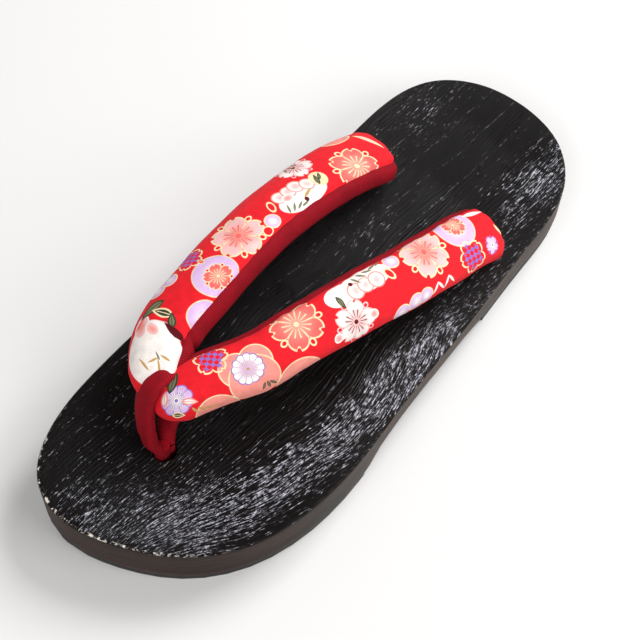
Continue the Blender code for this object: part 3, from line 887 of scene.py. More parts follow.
PINK_BLOSSOM = Inks(PINK, SALMON, CREAM, CORAL)
CORAL_BLOSSOM = Inks(CORAL, SALMON, CREAM, CREAM)
WHITE_BLOSSOM = Inks(WHITE, PINK, PINK, WINE)
LILAC_BLOSSOM = Inks(LILAC, WHITE, PURPLE, PURPLE)
PURPLE_ASTER = Inks(WHITE, LILAC, PURPLE, GOLD)
CHECKS = Inks(PURPLE, PURPLE, CREAM, CREAM)
SALMON_ROUND = Inks(SALMON, SALMON, CREAM, CREAM)
LILAC_ROUND = Inks(LILAC, WHITE, CREAM, CREAM)
WHITE_ROUND = one_ink(WHITE)
CREAM_ROUND = one_ink(CREAM)
PEACH_BLUSH = Inks(PINK, SALMON, WHITE, WHITE)
RED_HEART = Inks(GROUND, GROUND, CREAM, CREAM)
# Dark wine: small printed spots, and the painted shadow in the medial arm's crease.
DARK_SPOT_AND_CREASE_SHADOW = one_ink(WINE)
MOSS_LEAF = Inks(MOSS, MOSS, FOREST, FOREST)
DARK_LEAF = Inks(FOREST, FOREST, CREAM, CREAM)
GREEN_STROKE = one_ink(MOSS)
GOLD_STROKE = one_ink(GOLD)
CORAL_STROKE = one_ink(CORAL)
PINK_STROKE = Inks(PINK, PINK, CREAM, CREAM)
WHITE_PETAL = Inks(WHITE, PINK, SALMON, CREAM)


class Motif(NamedTuple):
    """A motif on the cloth: its place along and round an arm and its size in millimetres, its turn in degrees."""

    shape: Shape
    along: float
    around: float
    size: float
    inks: Inks
    turn: float = 0.0
    slim: float = 1.0
    petals: int = 5


blossom, checked, disc, leaf = (partial(Motif, shape) for shape in Shape)
PRINT: dict[Arm, tuple[Motif, ...]] = {
    Arm.MEDIAL: (
        disc(15.5, -0.3, 10.4, WHITE_ROUND, 0, 1.05), leaf(11.4, 3.4, 2.6, GOLD_STROKE, 50, 0.16),
        leaf(12.6, 0.4, 2.0, GOLD_STROKE, 115, 0.18), leaf(11.2, -2.0, 2.6, GOLD_STROKE, 20, 0.16),
        leaf(13.6, -3.8, 2.2, GOLD_STROKE, 70, 0.18), leaf(14.0, -1.2, 1.6, GREEN_STROKE, 35, 0.2),
        disc(22.6, 6.8, 3.8, PEACH_BLUSH, 20, 0.8), disc(22.4, 2.2, 3.2, PEACH_BLUSH, 60, 0.7),
        leaf(28.6, 6.4, 4.8, MOSS_LEAF, 150, 0.42), leaf(28.6, 1.6, 4.4, DARK_LEAF, 96, 0.40),
        # The first stroke on the next line is painted shadow: a dark wine line along the crease where the arm bends
        # behind the thong.
        leaf(27.2, -3.0, 3.2, MOSS_LEAF, 30, 0.5), leaf(23.4, 8.0, 2.4, CORAL_STROKE, -20, 0.3),
        leaf(23.6, -5.6, 5.4, DARK_SPOT_AND_CREASE_SHADOW, 66, 0.26), disc(34.6, -12.0, 6.6, LILAC_ROUND),
        disc(35.0, 10.4, 3.2, LILAC_ROUND), disc(40.2, 9.0, 3.2, LILAC_ROUND),
        checked(50.5, 8.6, 5.8, CHECKS, 20), disc(49.0, -5.0, 8.2, LILAC_ROUND, 0, 1.04),
        leaf(51.0, 3.2, 1.8, RED_HEART, 90, 0.6), blossom(49.0, -6.0, 5.4, CORAL_BLOSSOM, 20),
        blossom(66.5, -1.5, 9.9, PINK_BLOSSOM, 14), disc(74.2, -8.6, 2.1, RED_HEART),
        disc(78.6, -7.0, 3.1, LILAC_ROUND), disc(83.4, -2.4, 3.0, RED_HEART, 65, 0.48),
        disc(96.0, -6.4, 11.6, WHITE_ROUND, 0, 0.46), disc(89.0, -1.6, 3.2, WHITE_PETAL),
        disc(93.4, -1.6, 3.0, WHITE_PETAL), disc(97.4, -1.4, 3.2, WHITE_PETAL),
        disc(101.6, -3.2, 3.0, WHITE_PETAL), disc(90.6, -3.8, 2.6, PEACH_BLUSH, 0, 0.7),
        *(leaf(87.0 + 2.4 * n, -7.4 - 0.7 * n, 2.2, GREEN_STROKE, 65 - 20 * n, 0.22) for n in range(4)),
        leaf(98.6, -6.4, 3.0, GOLD_STROKE, 20, 0.2), disc(96.0, -8.4, 1.0, DARK_SPOT_AND_CREASE_SHADOW),
        disc(107.0, -3.8, 3.4, CREAM_ROUND, 0, 1.1), leaf(106.2, -3.8, 2.8, MOSS_LEAF, 70, 0.34),
        leaf(108.2, -3.0, 2.0, MOSS_LEAF, 55, 0.34), blossom(106.0, 7.4, 7.2, WHITE_BLOSSOM, 10),
        *(leaf(103.6 + 2.0 * n, 9.2, 1.6, GREEN_STROKE, 60 + 25 * n, 0.3) for n in range(3)),
        blossom(123.5, -7.0, 10.2, CORAL_BLOSSOM, 24), disc(130.0, 10.2, 6.4, SALMON_ROUND, 0, 0.6),
        leaf(139.0, 2.0, 6.6, PINK_STROKE, -67, 0.16),
    ),
    Arm.LATERAL: (
        blossom(9.0, 3.8, 5.2, LILAC_BLOSSOM, 20, petals=9), leaf(12.4, 6.2, 2.6, WHITE_PETAL, 30, 0.5),
        leaf(6.2, 1.0, 2.6, WHITE_PETAL, -50, 0.5), leaf(10.6, -2.4, 3.8, MOSS_LEAF, -52, 0.40),
        leaf(7.0, 8.2, 2.4, DARK_LEAF, 40, 0.5),
        disc(19.5, 16.0, 8.5, SALMON_ROUND), disc(48.5, 16.0, 8.5, SALMON_ROUND),
        *(leaf(12.6 + 2.4 * n, 10.2 + 0.5 * n, 2.0, GOLD_STROKE, 70 - 22 * n, 0.24) for n in range(4)),
        disc(29.4, 2.0, 5.8, SALMON_ROUND), disc(36.4, 1.6, 5.8, SALMON_ROUND),
        disc(34.0, 7.4, 8.6, SALMON_ROUND), blossom(33.2, 3.2, 5.6, PURPLE_ASTER, 0, petals=12),
        *(leaf(36.2 + 1.6 * n, 11.6, 1.7, MOSS_LEAF, 110 - 30 * n, 0.3) for n in range(3)),
        checked(23.5, -4.6, 6.0, CHECKS, 30), blossom(54.5, -3.0, 9.6, CORAL_BLOSSOM, 8),
        disc(73.0, -3.8, 6.0, WHITE_ROUND, 0, 0.7), blossom(73.0, 7.0, 8.0, WHITE_BLOSSOM, -32),
        disc(64.8, 9.0, 1.8, PEACH_BLUSH), disc(80.4, 7.6, 1.8, PEACH_BLUSH),
        leaf(71.6, -1.4, 2.8, MOSS_LEAF, 82, 0.34), disc(84.6, -4.6, 10.4, WHITE_ROUND, 0, 0.44),
        disc(78.6, -2.4, 3.2, WHITE_PETAL), disc(83.0, -2.8, 3.0, WHITE_PETAL),
        disc(87.8, -2.8, 3.2, WHITE_PETAL), disc(78.5, -5.5, 0.8, DARK_SPOT_AND_CREASE_SHADOW),
        *(leaf(81.0 + 2.9 * n, -5.8 - 0.7 * n, 2.2, GREEN_STROKE, 60 - 24 * n, 0.22) for n in range(5)),
        disc(93.4, -2.4, 2.8, RED_HEART, 70, 0.55), disc(97.2, -6.4, 3.2, LILAC_ROUND),
        disc(92.4, 13.2, 3.6, LILAC_ROUND), disc(98.8, 11.8, 3.6, LILAC_ROUND),
        disc(103.4, 11.4, 3.2, LILAC_ROUND),
        *(leaf(108.0 + 2.8 * n, 10.8, 2.6, WHITE_ROUND, 55 if n % 2 else 125, 0.2) for n in range(4)),
        blossom(111.0, -3.0, 10.2, PINK_BLOSSOM, 11), disc(130.0, -5.0, 8.6, LILAC_ROUND),
        blossom(130.5, -6.0, 5.2, CORAL_BLOSSOM, 10), checked(129.0, 7.8, 6.6, CHECKS, 0),
        blossom(140.0, 8.0, 3.6, LILAC_BLOSSOM, 0),
        leaf(142.6, -6.2, 5.2, WHITE_ROUND, 12, 0.2), leaf(147.0, 4.2, 2.6, CREAM_ROUND, 80, 0.3),
    ),
}


@dataclass(frozen=True)
class PrintedCotton(Finish):
    """Red cotton, printed with blossoms, rounds and leaves that are charted one by one."""

    arm: Arm
    ground: Colour = GROUND
    arm_offset: float = 300.0
    rib_mm: float = 0.42
    thread_mm: float = 0.36
    crinkle: float = 0.9
    roughness: float = 0.75
    specular: float = 0.2
    sheen: float = 0.03
    relief_mm: float = 0.05

    @property
    def name(self) -> str:
        """Each arm's cloth has a material of its own."""
        return f"printed_red_cotton_{self.arm.name.lower()}"

    def dress(self, graph: Graph, shader: bpy.types.Node, groups: Groups) -> None:
        """Connect the finish to its shader.

        Args:
            graph: The material's nodes.
            shader: Its shader.
            groups: The shared node groups.
        """
        cloth = graph.layer("cloth", vector=True)
        colour: object = self.ground
        offset = self.arm_offset if self.arm is Arm.LATERAL else 0.0
        for motif in PRINT[self.arm]:
            colour = self.draw(graph, groups, motif, cloth, colour, offset)
        weave = graph.use(groups.weave, Cloth=cloth, Rib=self.rib_mm, Thread=self.thread_mm, Crinkle=self.crinkle)
        worn = graph.step(graph.noise(cloth, 0.3, 3.0), 0.2, 0.8, 0.86, 1.06)
        tone = graph.node("ShaderNodeHueSaturation")
        graph.put(worn, tone.inputs["Value"])
        graph.put(colour, tone.inputs["Color"])
        graph.put(tone.outputs[0], shader.inputs["Base Color"])
        shader.inputs["Roughness"].default_value = self.roughness
        shader.inputs["Specular IOR Level"].default_value = self.specular
        shader.inputs["Sheen Weight"].default_value = self.sheen
        bump(graph, shader, weave["Height"], self.relief_mm)

    def draw(self, graph: Graph, groups: Groups, motif: Motif, cloth: bpy.types.NodeSocket, under: object,
             offset: float) -> bpy.types.NodeSocket:
        """Print one motif over what lies under it.

        Args:
            graph: The material's nodes.
            groups: The shared node groups.
            motif: The motif.
            cloth: The place on the cloth.
            under: The colour below.
            offset: Where its arm starts on the cloth.

        Returns:
            The colour with the motif on it.
        """
        shared = {"Under": under, "Place": cloth, "Centre": (motif.along + offset, motif.around, 0.0),
                  "Size": (motif.size, motif.size * motif.slim, 1.0), "Turn": math.radians(motif.turn)}
        inks, five = motif.inks, motif.petals == 5
        drawn_edge = min(0.35, 0.55 / (motif.size * motif.slim))
        if motif.shape is Shape.BLOSSOM:
            made = graph.use(groups.blossom, **shared, Petals=float(motif.petals), Lobe=0.42 if five else 0.12,
                             Notch=0.13 if five else 0.0, Rays=15.0 if five else 24.0, Hearts=1.0 if five else 0.0,
                             Petal=inks.body, Heart=inks.heart, Line=inks.line, Stamen=inks.stamen, Ground=self.ground)
        elif motif.shape is Shape.CHECKED:
            made = graph.use(groups.checked, **shared, Fill=inks.body, Line=inks.line)
        elif motif.shape is Shape.ROUND:
            made = graph.use(groups.disc, **shared, Edge=1.0 - drawn_edge, Fill=inks.body, Heart=inks.heart,
                             Line=inks.line)
        else:
            made = graph.use(groups.leaf, **shared, Edge=drawn_edge, Fill=inks.body, Line=inks.line)
        return made["Colour"]


@dataclass(frozen=True)
class FloorPaper(Finish):
    """The pale studio floor."""

    name: str = "floor_paper"
    white: Colour = paint(226, 225, 224)
    roughness: float = 0.9

    def dress(self, graph: Graph, shader: bpy.types.Node, groups: Groups) -> None:
        """Connect the finish to its shader."""
        shader.inputs["Base Color"].default_value = (*self.white, 1.0)
        shader.inputs["Roughness"].default_value = self.roughness


# The board

class Rim(NamedTuple):
    """A point of the footbed's rim: shares of the length, width and rim height, and the wall's flare."""

    along: float
    across: float
    height: float
    flare: float


RIM = (
    Rim(1.000, -0.119, 1.12, -0.2), Rim(0.979, 0.084, 1.15, -0.2), Rim(0.925, 0.297, 1.13, -0.2),
    Rim(0.850, 0.437, 1.09, -0.2), Rim(0.717, 0.513, 1.13, -0.1), Rim(0.640, 0.504, 1.07, -0.1),
    Rim(0.542, 0.466, 0.98, -0.1), Rim(0.375, 0.419, 0.87, 0.0), Rim(0.188, 0.360, 0.87, 0.2),
    Rim(0.067, 0.289, 0.95, 0.0), Rim(0.014, 0.141, 1.00, -0.6), Rim(0.000, -0.050, 1.02, -0.8),
    Rim(0.014, -0.252, 1.05, 0.0), Rim(0.067, -0.422, 1.08, 1.6), Rim(0.208, -0.487, 1.08, 2.4),
    Rim(0.419, -0.459, 1.00, 0.8), Rim(0.630, -0.473, 1.02, -0.8), Rim(0.797, -0.460, 1.06, -0.8),
    Rim(0.922, -0.398, 1.10, -0.8), Rim(0.980, -0.294, 1.11, -0.8),
)
DISH = ((0.00, 0.0), (0.08, 0.6), (0.20, 1.0), (0.35, 0.7), (0.50, 0.4), (0.70, 0.6), (0.88, 0.5), (1.00, 0.0))


class Patch(NamedTuple):
    """A soft patch of the footbed: shares of the length and width, how far it reaches, and how strong it is."""

    along: float
    across: float
    reach_along: float
    reach_across: float
    strength: float


# Where glints are painted on the footbed, and how many.
PAINTED_GLINT_PATCHES = (
    Patch(0.08, 0.20, 0.10, 0.13, 1.25), Patch(0.10, -0.34, 0.12, 0.10, 0.75), Patch(0.35, -0.14, 0.07, 0.08, 0.8),
    Patch(0.42, 0.36, 0.14, 0.10, 1.2), Patch(0.56, 0.40, 0.14, 0.10, 1.0), Patch(0.76, 0.34, 0.15, 0.14, 1.25),
    Patch(0.90, 0.14, 0.10, 0.20, 1.15), Patch(0.96, -0.10, 0.05, 0.16, 0.85), Patch(0.80, -0.26, 0.14, 0.14, 0.35),
    Patch(0.24, 0.24, 0.10, 0.10, 0.7),
)
SWIRLS = (
    Patch(0.38, 0.39, 0.080, 0.055, 2.6), Patch(0.27, -0.12, 0.110, 0.110, 4.2), Patch(0.56, -0.15, 0.060, 0.130, 3.4),
    Patch(0.12, 0.04, 0.100, 0.080, 2.4), Patch(0.68, -0.28, 0.120, 0.070, 1.6), Patch(0.55, 0.30, 0.100, 0.080, 1.8),
)


@dataclass
class Board:
    """The wooden board: a carved footbed on a front block and a heel block."""

    length: float = 0.240
    width: float = 0.094
    rim_height: float = 0.020
    dish_depth: float = 0.0034
    arris: float = 0.0011
    wall_lean: float = 0.0010
    foot_bevel: float = 0.0006
    arch_clearance: float = 0.0078
    front_block: tuple[float, float] = (0.0345, 0.0105)
    heel_block: tuple[float, float] = (0.043, 0.016)
    block_skew: float = -0.08
    skew_reach: float = 0.060
    skew_fade: float = 0.048
    toe_lift: tuple[float, float] = (0.0016, 0.035)
    rubber: tuple[float, float] = (0.0026, 0.0046)
    gap: float = 0.0003
    hole_radius: float = 0.0045
    recess: tuple[float, float] = (0.0105, 0.0060)
    ring_spacing: float = 0.00074
    relief: float = 0.00010
    waist_reach: float = 0.045
    waist_slant: float = 0.26
    toe_start: float = 0.045
    toe_bend: float = 5.5
    grain_waves: tuple[tuple[float, float, int], ...] = ((0.0005, 0.02, 3), (0.0002, 0.006, 8))
    relief_fade: float = 0.0015
    worn_reach: float = 0.0022
    wall_from: float = 0.35
    strips: int = 300
    under_strips: int = 21
    middle_sections: int = 176
    tip_sections: int = 14
    tip_length: float = 0.006
    hole_sides: int = 64
    hole_turn: float = 0.01
    points_at_once: int = 8000

    def __post_init__(self) -> None:
        """Work out the rim's curve on both sides."""
        curve = cubic_through([((r.along - 0.5) * self.length, r.across * self.width, r.height * self.rim_height,
                                r.flare * self.wall_lean) for r in RIM], closed=True)
        self.rim_curve = curve
        turned = np.roll(curve, -int(np.argmax(curve[:, 0])), axis=0)
        heel = int(np.argmin(turned[:, 0]))
        self.lateral = turned[:heel + 1][::-1]
        self.medial = np.vstack([turned[heel:], turned[:1]])

    def rim_at(self, side: np.ndarray, x: np.ndarray, column: int) -> np.ndarray:
        """How far across (1) or how high (2) a side's rim stands, or how far its wall flares (3)."""
        return np.interp(x, side[:, 0], side[:, column])

    def footbed(self, x: np.ndarray, y: np.ndarray) -> np.ndarray:
        """Height of the carved footbed.

        Args:
            x: Places along the board.
            y: Places across it.

        Returns:
            The heights.
        """
        low, high = self.rim_at(self.medial, x, 1), self.rim_at(self.lateral, x, 1)
        share = np.clip((y - low) / np.maximum(high - low, 1e-6), 0.0, 1.0)
        low_height, high_height = self.rim_at(self.medial, x, 2), self.rim_at(self.lateral, x, 2)
        depth = np.interp(x, [(a - 0.5) * self.length for a, _ in DISH], [d * self.dish_depth for _, d in DISH])
        return low_height + share * (high_height - low_height) - depth * (1.0 - (2.0 * share - 1.0) ** 2)

    def patches(self, table: Sequence[Patch], x: np.ndarray, y: np.ndarray) -> np.ndarray:
        """The strength of a table's soft patches at places on the footbed.

        Args:
            table: The patches.
            x: Places along the board.
            y: Places across it.

        Returns:
            The strengths, summed.
        """
        total = np.zeros_like(x, dtype=float)
        for patch in table:
            along = (x / self.length + 0.5 - patch.along) / patch.reach_along
            across = (y / self.width - patch.across) / patch.reach_across
            total += patch.strength * np.exp(-along ** 2 - across ** 2)
        return total

    def grain(self, x: np.ndarray, y: np.ndarray) -> tuple[np.ndarray, np.ndarray, np.ndarray]:
        """The wood's grain: how far along it a place lies, in which ring, and how strongly glints are painted there.

        Args:
            x: Places along the board.
            y: Places across it.

        Returns:
            Millimetres along the grain, ring numbers, and the painted glint amount of 0 to about 1.
        """
        waist = np.exp(-(x / self.waist_reach) ** 2) * smooth((y - 0.012) / 0.02)
        toe = smooth((x - self.toe_start) / 0.06) * smooth((y + 0.005) / 0.04)
        flow = y - self.waist_slant * (x + 0.020) * waist + self.toe_bend * (x - self.toe_start) ** 2 * toe
        flow = flow + MM * self.patches(SWIRLS, x, y)
        for depth, length, seed in self.grain_waves:
            flow = flow + depth * ripple(x / length, seed)
        return x / MM, flow / self.ring_spacing, np.clip(self.patches(PAINTED_GLINT_PATCHES, x, y), 0.0, 1.3)

    def underside(self, x: np.ndarray) -> np.ndarray:
        """Height of the wood's underside: front block, arch, heel block.

        Args:
            x: Places along the board.

        Returns:
            The heights.
        """
        front, heel = self.rubber[0] + self.gap, self.rubber[1] + self.gap
        lift = self.toe_lift[0] * np.maximum(0.0, (x - (self.length / 2 - self.toe_lift[1])) / self.toe_lift[1]) ** 2
        ahead = smooth((x - (self.front_block[0] - self.front_block[1])) / self.front_block[1])
        behind = smooth((-x - (self.heel_block[0] - self.heel_block[1])) / self.heel_block[1])
        return np.where(x > 0.0, self.arch_clearance + ahead * (front - self.arch_clearance) + lift,
                        self.arch_clearance + behind * (heel - self.arch_clearance))

    def edge(self, side: np.ndarray, x: np.ndarray, inset: np.ndarray) -> tuple[np.ndarray, np.ndarray]:
        """Where the aslant sections through x meet the rim on one side.

        Args:
            side: The rim's samples on that side.
            x: The sections.
            inset: How far inside the rim.

        Returns:
            Places along and across the board.
        """
        fade = self.block_skew * (1.0 - smooth((np.abs(x) - self.skew_reach) / self.skew_fade))
        across = self.rim_at(side, x, 1)
        for _ in range(6):
            across = self.rim_at(side, x + fade * across, 1)
        inward = inset if side is self.medial else -inset
        return x + fade * across, across + inward

    def sections(self) -> np.ndarray:
        """The board's sections from heel to toe, each a ring of points.

        Returns:
            Points by section and by place round it.
        """
        tips = self.tip_length * (np.arange(1, self.tip_sections + 1) / (self.tip_sections + 1)) ** 2
        heel, toe = self.lateral[0, 0], self.lateral[-1, 0]
        middle = np.linspace(heel + self.tip_length, toe - self.tip_length, self.middle_sections)
        x = np.unique(np.concatenate([heel + tips, middle, toe - tips]))
        medial_y, lateral_y = [self.edge(side, x, 0.0)[1] for side in (self.medial, self.lateral)]
        quarter = 0.25 * np.abs(lateral_y - medial_y)
        bevel = np.minimum(self.arris, quarter)
        low = self.underside(x)
        shares = np.linspace(0.0, 1.0, self.strips + 1)[None, :]
        start, end = self.edge(self.medial, x, bevel), self.edge(self.lateral, x, bevel)
        top_x = start[0][:, None] + shares * (end[0] - start[0])[:, None]
        top_y = start[1][:, None] + shares * (end[1] - start[1])[:, None]
        top_z = self.footbed(top_x, top_y)
        ridges = 0.5 + 0.5 * np.cos(math.pi * self.grain(top_x, top_y)[1])
        inner = smooth(np.minimum(shares, 1.0 - shares) * (end[1] - start[1])[:, None] / self.relief_fade)
        top_z = top_z + self.relief * ridges * inner
        columns = [(top_x, top_y, top_z)]
        for side, turn in ((self.lateral, 1), (self.medial, -1)):
            rows = self.wall(side, x, bevel, quarter, low)
            columns.append(rows if turn > 0 else tuple(part[:, ::-1] for part in rows))
        below = [tuple(part[:, -1:] for part in columns[1]), tuple(part[:, :1] for part in columns[2])]
        flat = np.linspace(0.0, 1.0, self.under_strips + 1)[None, 1:-1]
        columns.insert(2, tuple(a + flat * (b - a) for a, b in zip(*below)))
        return np.stack([np.concatenate(parts, axis=1) for parts in zip(*columns)], axis=-1)

    def wall(self, side: np.ndarray, x: np.ndarray, bevel: np.ndarray, quarter: np.ndarray,
             low: np.ndarray) -> tuple[np.ndarray, ...]:
        """One side's rounded rim, wall and lower bevel, from above.

        Args:
            side: The rim's samples on that side.
            x: The sections.
            bevel: The rim's rounding at each.
            quarter: A quarter of each section's width.
            low: The underside's height at each.

        Returns:
            The points' three numbers by section and by place down the wall.
        """
        outer = self.edge(side, x, np.zeros_like(x))
        height = self.rim_at(side, outer[0], 2)
        lean = np.minimum(-self.rim_at(side, outer[0], 3), quarter)
        rows = []
        for angle in np.radians([22.5, 45.0, 67.5, 90.0]):
            at = self.edge(side, x, bevel * (1.0 - math.sin(angle)))
            rows.append((at[0], at[1], height - bevel * (1.0 - math.cos(angle))))
        foot = self.edge(side, x, lean)
        for share in np.linspace(0.0, 1.0, 8)[1:]:
            top = rows[3]
            rows.append((top[0] + share * (foot[0] - top[0]), top[1] + share * (foot[1] - top[1]),
                         top[2] + share * (low + self.foot_bevel - top[2])))
        sole = self.edge(side, x, lean + np.minimum(self.foot_bevel, quarter))
        rows.append((sole[0], sole[1], low))
        return tuple(np.stack(parts, axis=1) for parts in zip(*rows))

    def drill(self, holes: Sequence[tuple[float, float]]) -> bpy.types.Object:
        """The tool that cuts the strap holes and their recesses.

        Args:
            holes: Their places.

        Returns:
            The cutting body.
        """
        points, faces, sides = [], [], self.hole_sides
        angles = np.linspace(0.0, 2.0 * math.pi, sides, endpoint=False) + self.hole_turn
        for x, y in holes:
            ceiling = float(self.underside(np.array(x))) + self.recess[1]
            rings = [(self.recess[0], -0.05), (self.recess[0], ceiling), (self.hole_radius, ceiling),
                     (self.hole_radius, 0.05)]
            faces += tube_faces(len(rings), sides, len(points) * sides)
            for radius, height in rings:
                points.append([(x + radius * math.cos(a), y + radius * math.sin(a), height) for a in angles])
        return new_piece("hole_drill", np.array(points), faces)

    def build(self, holes: Sequence[tuple[float, float]], footbed: bpy.types.Material,
              wall: bpy.types.Material) -> bpy.types.Object:
        """Make the board and dress it.

        Args:
            holes: Places of the strap holes.
            footbed: The finish of its top.
            wall: The finish of its side and underside.

        Returns:
            The board.
        """
        sections = self.sections()
        blank = new_piece("board_blank", sections, tube_faces(*sections.shape[:2]))
        drill = self.drill(holes)
        cut = blank.modifiers.new("holes", "BOOLEAN")
        cut.operation, cut.solver, cut.object = "DIFFERENCE", "EXACT", drill
        depsgraph = bpy.context.evaluated_depsgraph_get()
        data = bpy.data.meshes.new_from_object(blank.evaluated_get(depsgraph))
        data.name = "board"
        for spent in (blank, drill):
            bpy.data.objects.remove(spent, do_unlink=True)
        piece = bpy.data.objects.new("board", data)
        bpy.context.scene.collection.objects.link(piece)
        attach(piece, "root")
        data.materials.clear()
        data.materials.append(footbed)
        data.materials.append(wall)
        self.mark(piece)
        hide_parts("base")
        return piece

    def mark(self, piece: bpy.types.Object) -> None:
        """Store the grain with its painted glint amount and the nearness of the rim, and give each face its finish.

        Args:
            piece: The board.
        """
        points = points_of(piece)
        add_layer(piece, "grain", np.stack(self.grain(points[:, 0], points[:, 1]), axis=1))
        rim = self.rim_curve[::2, :3]
        batches = [points[start:start + self.points_at_once] for start in range(0, len(points), self.points_at_once)]
        near = np.concatenate([nearest(batch, rim) for batch in batches])
        add_layer(piece, "rim", np.clip(1.0 - near / self.worn_reach, 0.0, 1.0))
        normals = np.empty(len(piece.data.polygons) * 3)
        piece.data.polygons.foreach_get("normal", normals)
        walls = normals.reshape(-1, 3)[:, 2] < self.wall_from
        piece.data.polygons.foreach_set("material_index", walls.astype(np.int32))
        piece.data.shade_smooth()
        piece.data.set_sharp_from_angle(angle=math.radians(50.0))


# Straps

class Pad(NamedTuple):
    """A section of a padded strap arm: shares of the named sizes, and the roll in degrees."""

    along: float
    across: float
    lift: float
    roll: float
    width: float
    thickness: float


MEDIAL_ARM = (
    Pad(0.812, -0.136, 0.65, 2.0, 0.62, 0.98), Pad(0.785, -0.173, 0.77, 6.0, 0.74, 1.00),
    Pad(0.738, -0.254, 0.83, 12.0, 0.90, 1.00), Pad(0.667, -0.293, 0.87, 14.0, 0.96, 1.00),
    Pad(0.583, -0.320, 0.85, 16.0, 0.98, 1.00), Pad(0.500, -0.346, 0.77, 16.0, 1.00, 1.00),
    Pad(0.417, -0.356, 0.62, 14.0, 1.00, 1.00), Pad(0.333, -0.349, 0.44, 10.0, 1.00, 1.00),
    Pad(0.279, -0.340, 0.27, 6.0, 0.98, 1.00), Pad(0.238, -0.330, 0.12, 4.0, 0.94, 0.96),
)
LATERAL_ARM = (
    Pad(0.814, -0.108, 0.61, 2.0, 0.72, 0.94), Pad(0.782, -0.083, 0.73, 6.0, 0.76, 0.98),
    Pad(0.735, -0.034, 0.80, 10.0, 0.79, 1.00), Pad(0.667, 0.038, 0.83, 12.0, 0.81, 1.00),
    Pad(0.583, 0.089, 0.84, 14.0, 0.83, 1.00), Pad(0.500, 0.127, 0.78, 14.0, 0.86, 1.00),
    Pad(0.417, 0.163, 0.66, 14.0, 0.88, 1.00), Pad(0.333, 0.184, 0.48, 12.0, 0.89, 1.00),
    Pad(0.265, 0.198, 0.28, 8.0, 0.89, 1.00), Pad(0.222, 0.208, 0.12, 4.0, 0.86, 0.96),
)


@dataclass
class StrapArm:
    """One padded arm of the strap, from the V to its rear end."""

    board: Board
    arm: Arm
    pads: tuple[Pad, ...]
    width: float = 0.0255
    thickness: float = 0.0138
    rise: float = 0.030
    crown: float = 0.56
    roundness: float = 0.86
    nose_rounding: float = 0.011
    end_rounding: float = 0.0045
    tail_setback: float = 0.0085
    bed_gap: float = 0.00035
    least_share: float = 0.06
    end_rows: int = 14
    stations: int = 150

    def __post_init__(self) -> None:
        """Work out the arm's middle line and the frame of each of its sections."""
        size = self.board
        rows = []
        for pad in self.pads:
            x, y = (pad.along - 0.5) * size.length, pad.across * size.width
            rows.append((x, y, float(size.footbed(np.array(x), np.array(y))) + pad.lift * self.rise,
                         math.radians(pad.roll), pad.width * self.width, pad.thickness * self.thickness))
        curve = cubic_through(rows, closed=False)
        self.total = float(travelled(curve)[-1])
        ease = 1.0 - np.cos(np.linspace(0.0, math.pi / 2, self.end_rows, endpoint=False))
        middle = self.stations - 2 * self.end_rows
        places = np.concatenate([self.nose_rounding * ease,
                                 np.linspace(self.nose_rounding, self.total - self.end_rounding, middle),
                                 self.total - self.end_rounding * ease[::-1]])
        samples = at_distances(curve, places)
        self.places, self.centres = places, samples[:, :3]
        forward = unit(np.gradient(self.centres, axis=0))
        level = unit(np.cross([0.0, 0.0, 1.0], forward))
        level *= np.sign(level[:, 1:2] * self.arm.value)
        normal = np.cross(forward, level)
        normal *= np.sign(normal[:, 2:])
        roll = samples[:, 3:4]
        self.out = level * np.cos(roll) - normal * np.sin(roll)
        self.up = normal * np.cos(roll) + level * np.sin(roll)
        share = np.ones(len(places))
        for distance, rounding in ((places, self.nose_rounding), (self.total - places, self.end_rounding)):
            share = np.minimum(share, np.sqrt(np.clip(1.0 - (1.0 - np.minimum(distance / rounding, 1.0)) ** 2, 0, 1)))
        share = np.maximum(share, self.least_share)
        self.widths, self.thicknesses = samples[:, 4] * share, samples[:, 5] * share

    def outline(self, angles: np.ndarray) -> tuple[np.ndarray, np.ndarray]:
        """The sections' points at angles from the outer side over the top, by section and by angle.

        Args:
            angles: Places round the section.

        Returns:
            How far out and how far up each point lies.
        """
        out, up = np.cos(angles)[None, :], np.sin(angles)[None, :]
        share = np.where(up > 0.0, self.crown, 1.0 - self.crown)
        wide = self.widths[:, None] / 2 * np.sign(out) * np.abs(out) ** self.roundness
        return wide, self.thicknesses[:, None] * share * np.sign(up) * np.abs(up) ** self.roundness

    def surface(self, angles: np.ndarray, swell: np.ndarray | float = 0.0) -> np.ndarray:
        """Points of the arm's skin.

        Args:
            angles: Places round the section.
            swell: How far each point stands off the plain section.

        Returns:
            Points by section and by angle.
        """
        wide, high = self.outline(angles)
        reach = np.sqrt(wide ** 2 + high ** 2)
        scale = 1.0 + swell / np.maximum(reach, 1e-4)
        points = (self.centres[:, None, :] + self.out[:, None, :] * (wide * scale)[..., None]
                  + self.up[:, None, :] * (high * scale)[..., None])
        bed = self.board.footbed(points[..., 0], points[..., 1]) + self.bed_gap
        points[..., 2] = np.maximum(points[..., 2], bed)
        return points

    def cloth(self, angles: np.ndarray) -> np.ndarray:
        """Where each point lies on the cloth: millimetres along the arm and round it from the crown.

        Args:
            angles: Places round the section.

        Returns:
            Each point's place, as a row of three.
        """
        wide, high = self.outline(angles)
        steps = np.hypot(np.diff(wide, axis=1), np.diff(high, axis=1))
        around = np.concatenate([np.zeros((len(wide), 1)), np.cumsum(steps, axis=1)], axis=1)
        crown = np.array([np.interp(math.pi / 2, angles, row) for row in around])
        offset = PrintedCotton.arm_offset if self.arm is Arm.LATERAL else 0.0
        along = np.broadcast_to(self.places[:, None] / MM + offset, around.shape)
        return np.stack([along, (crown[:, None] - around) / MM, np.zeros_like(around)], axis=-1)

    def rear_hole(self) -> tuple[float, float]:
        """Where the arm's tail goes into the board."""
        at = self.total - self.tail_setback
        return tuple(float(np.interp(at, self.places, self.centres[:, axis])) for axis in (0, 1))


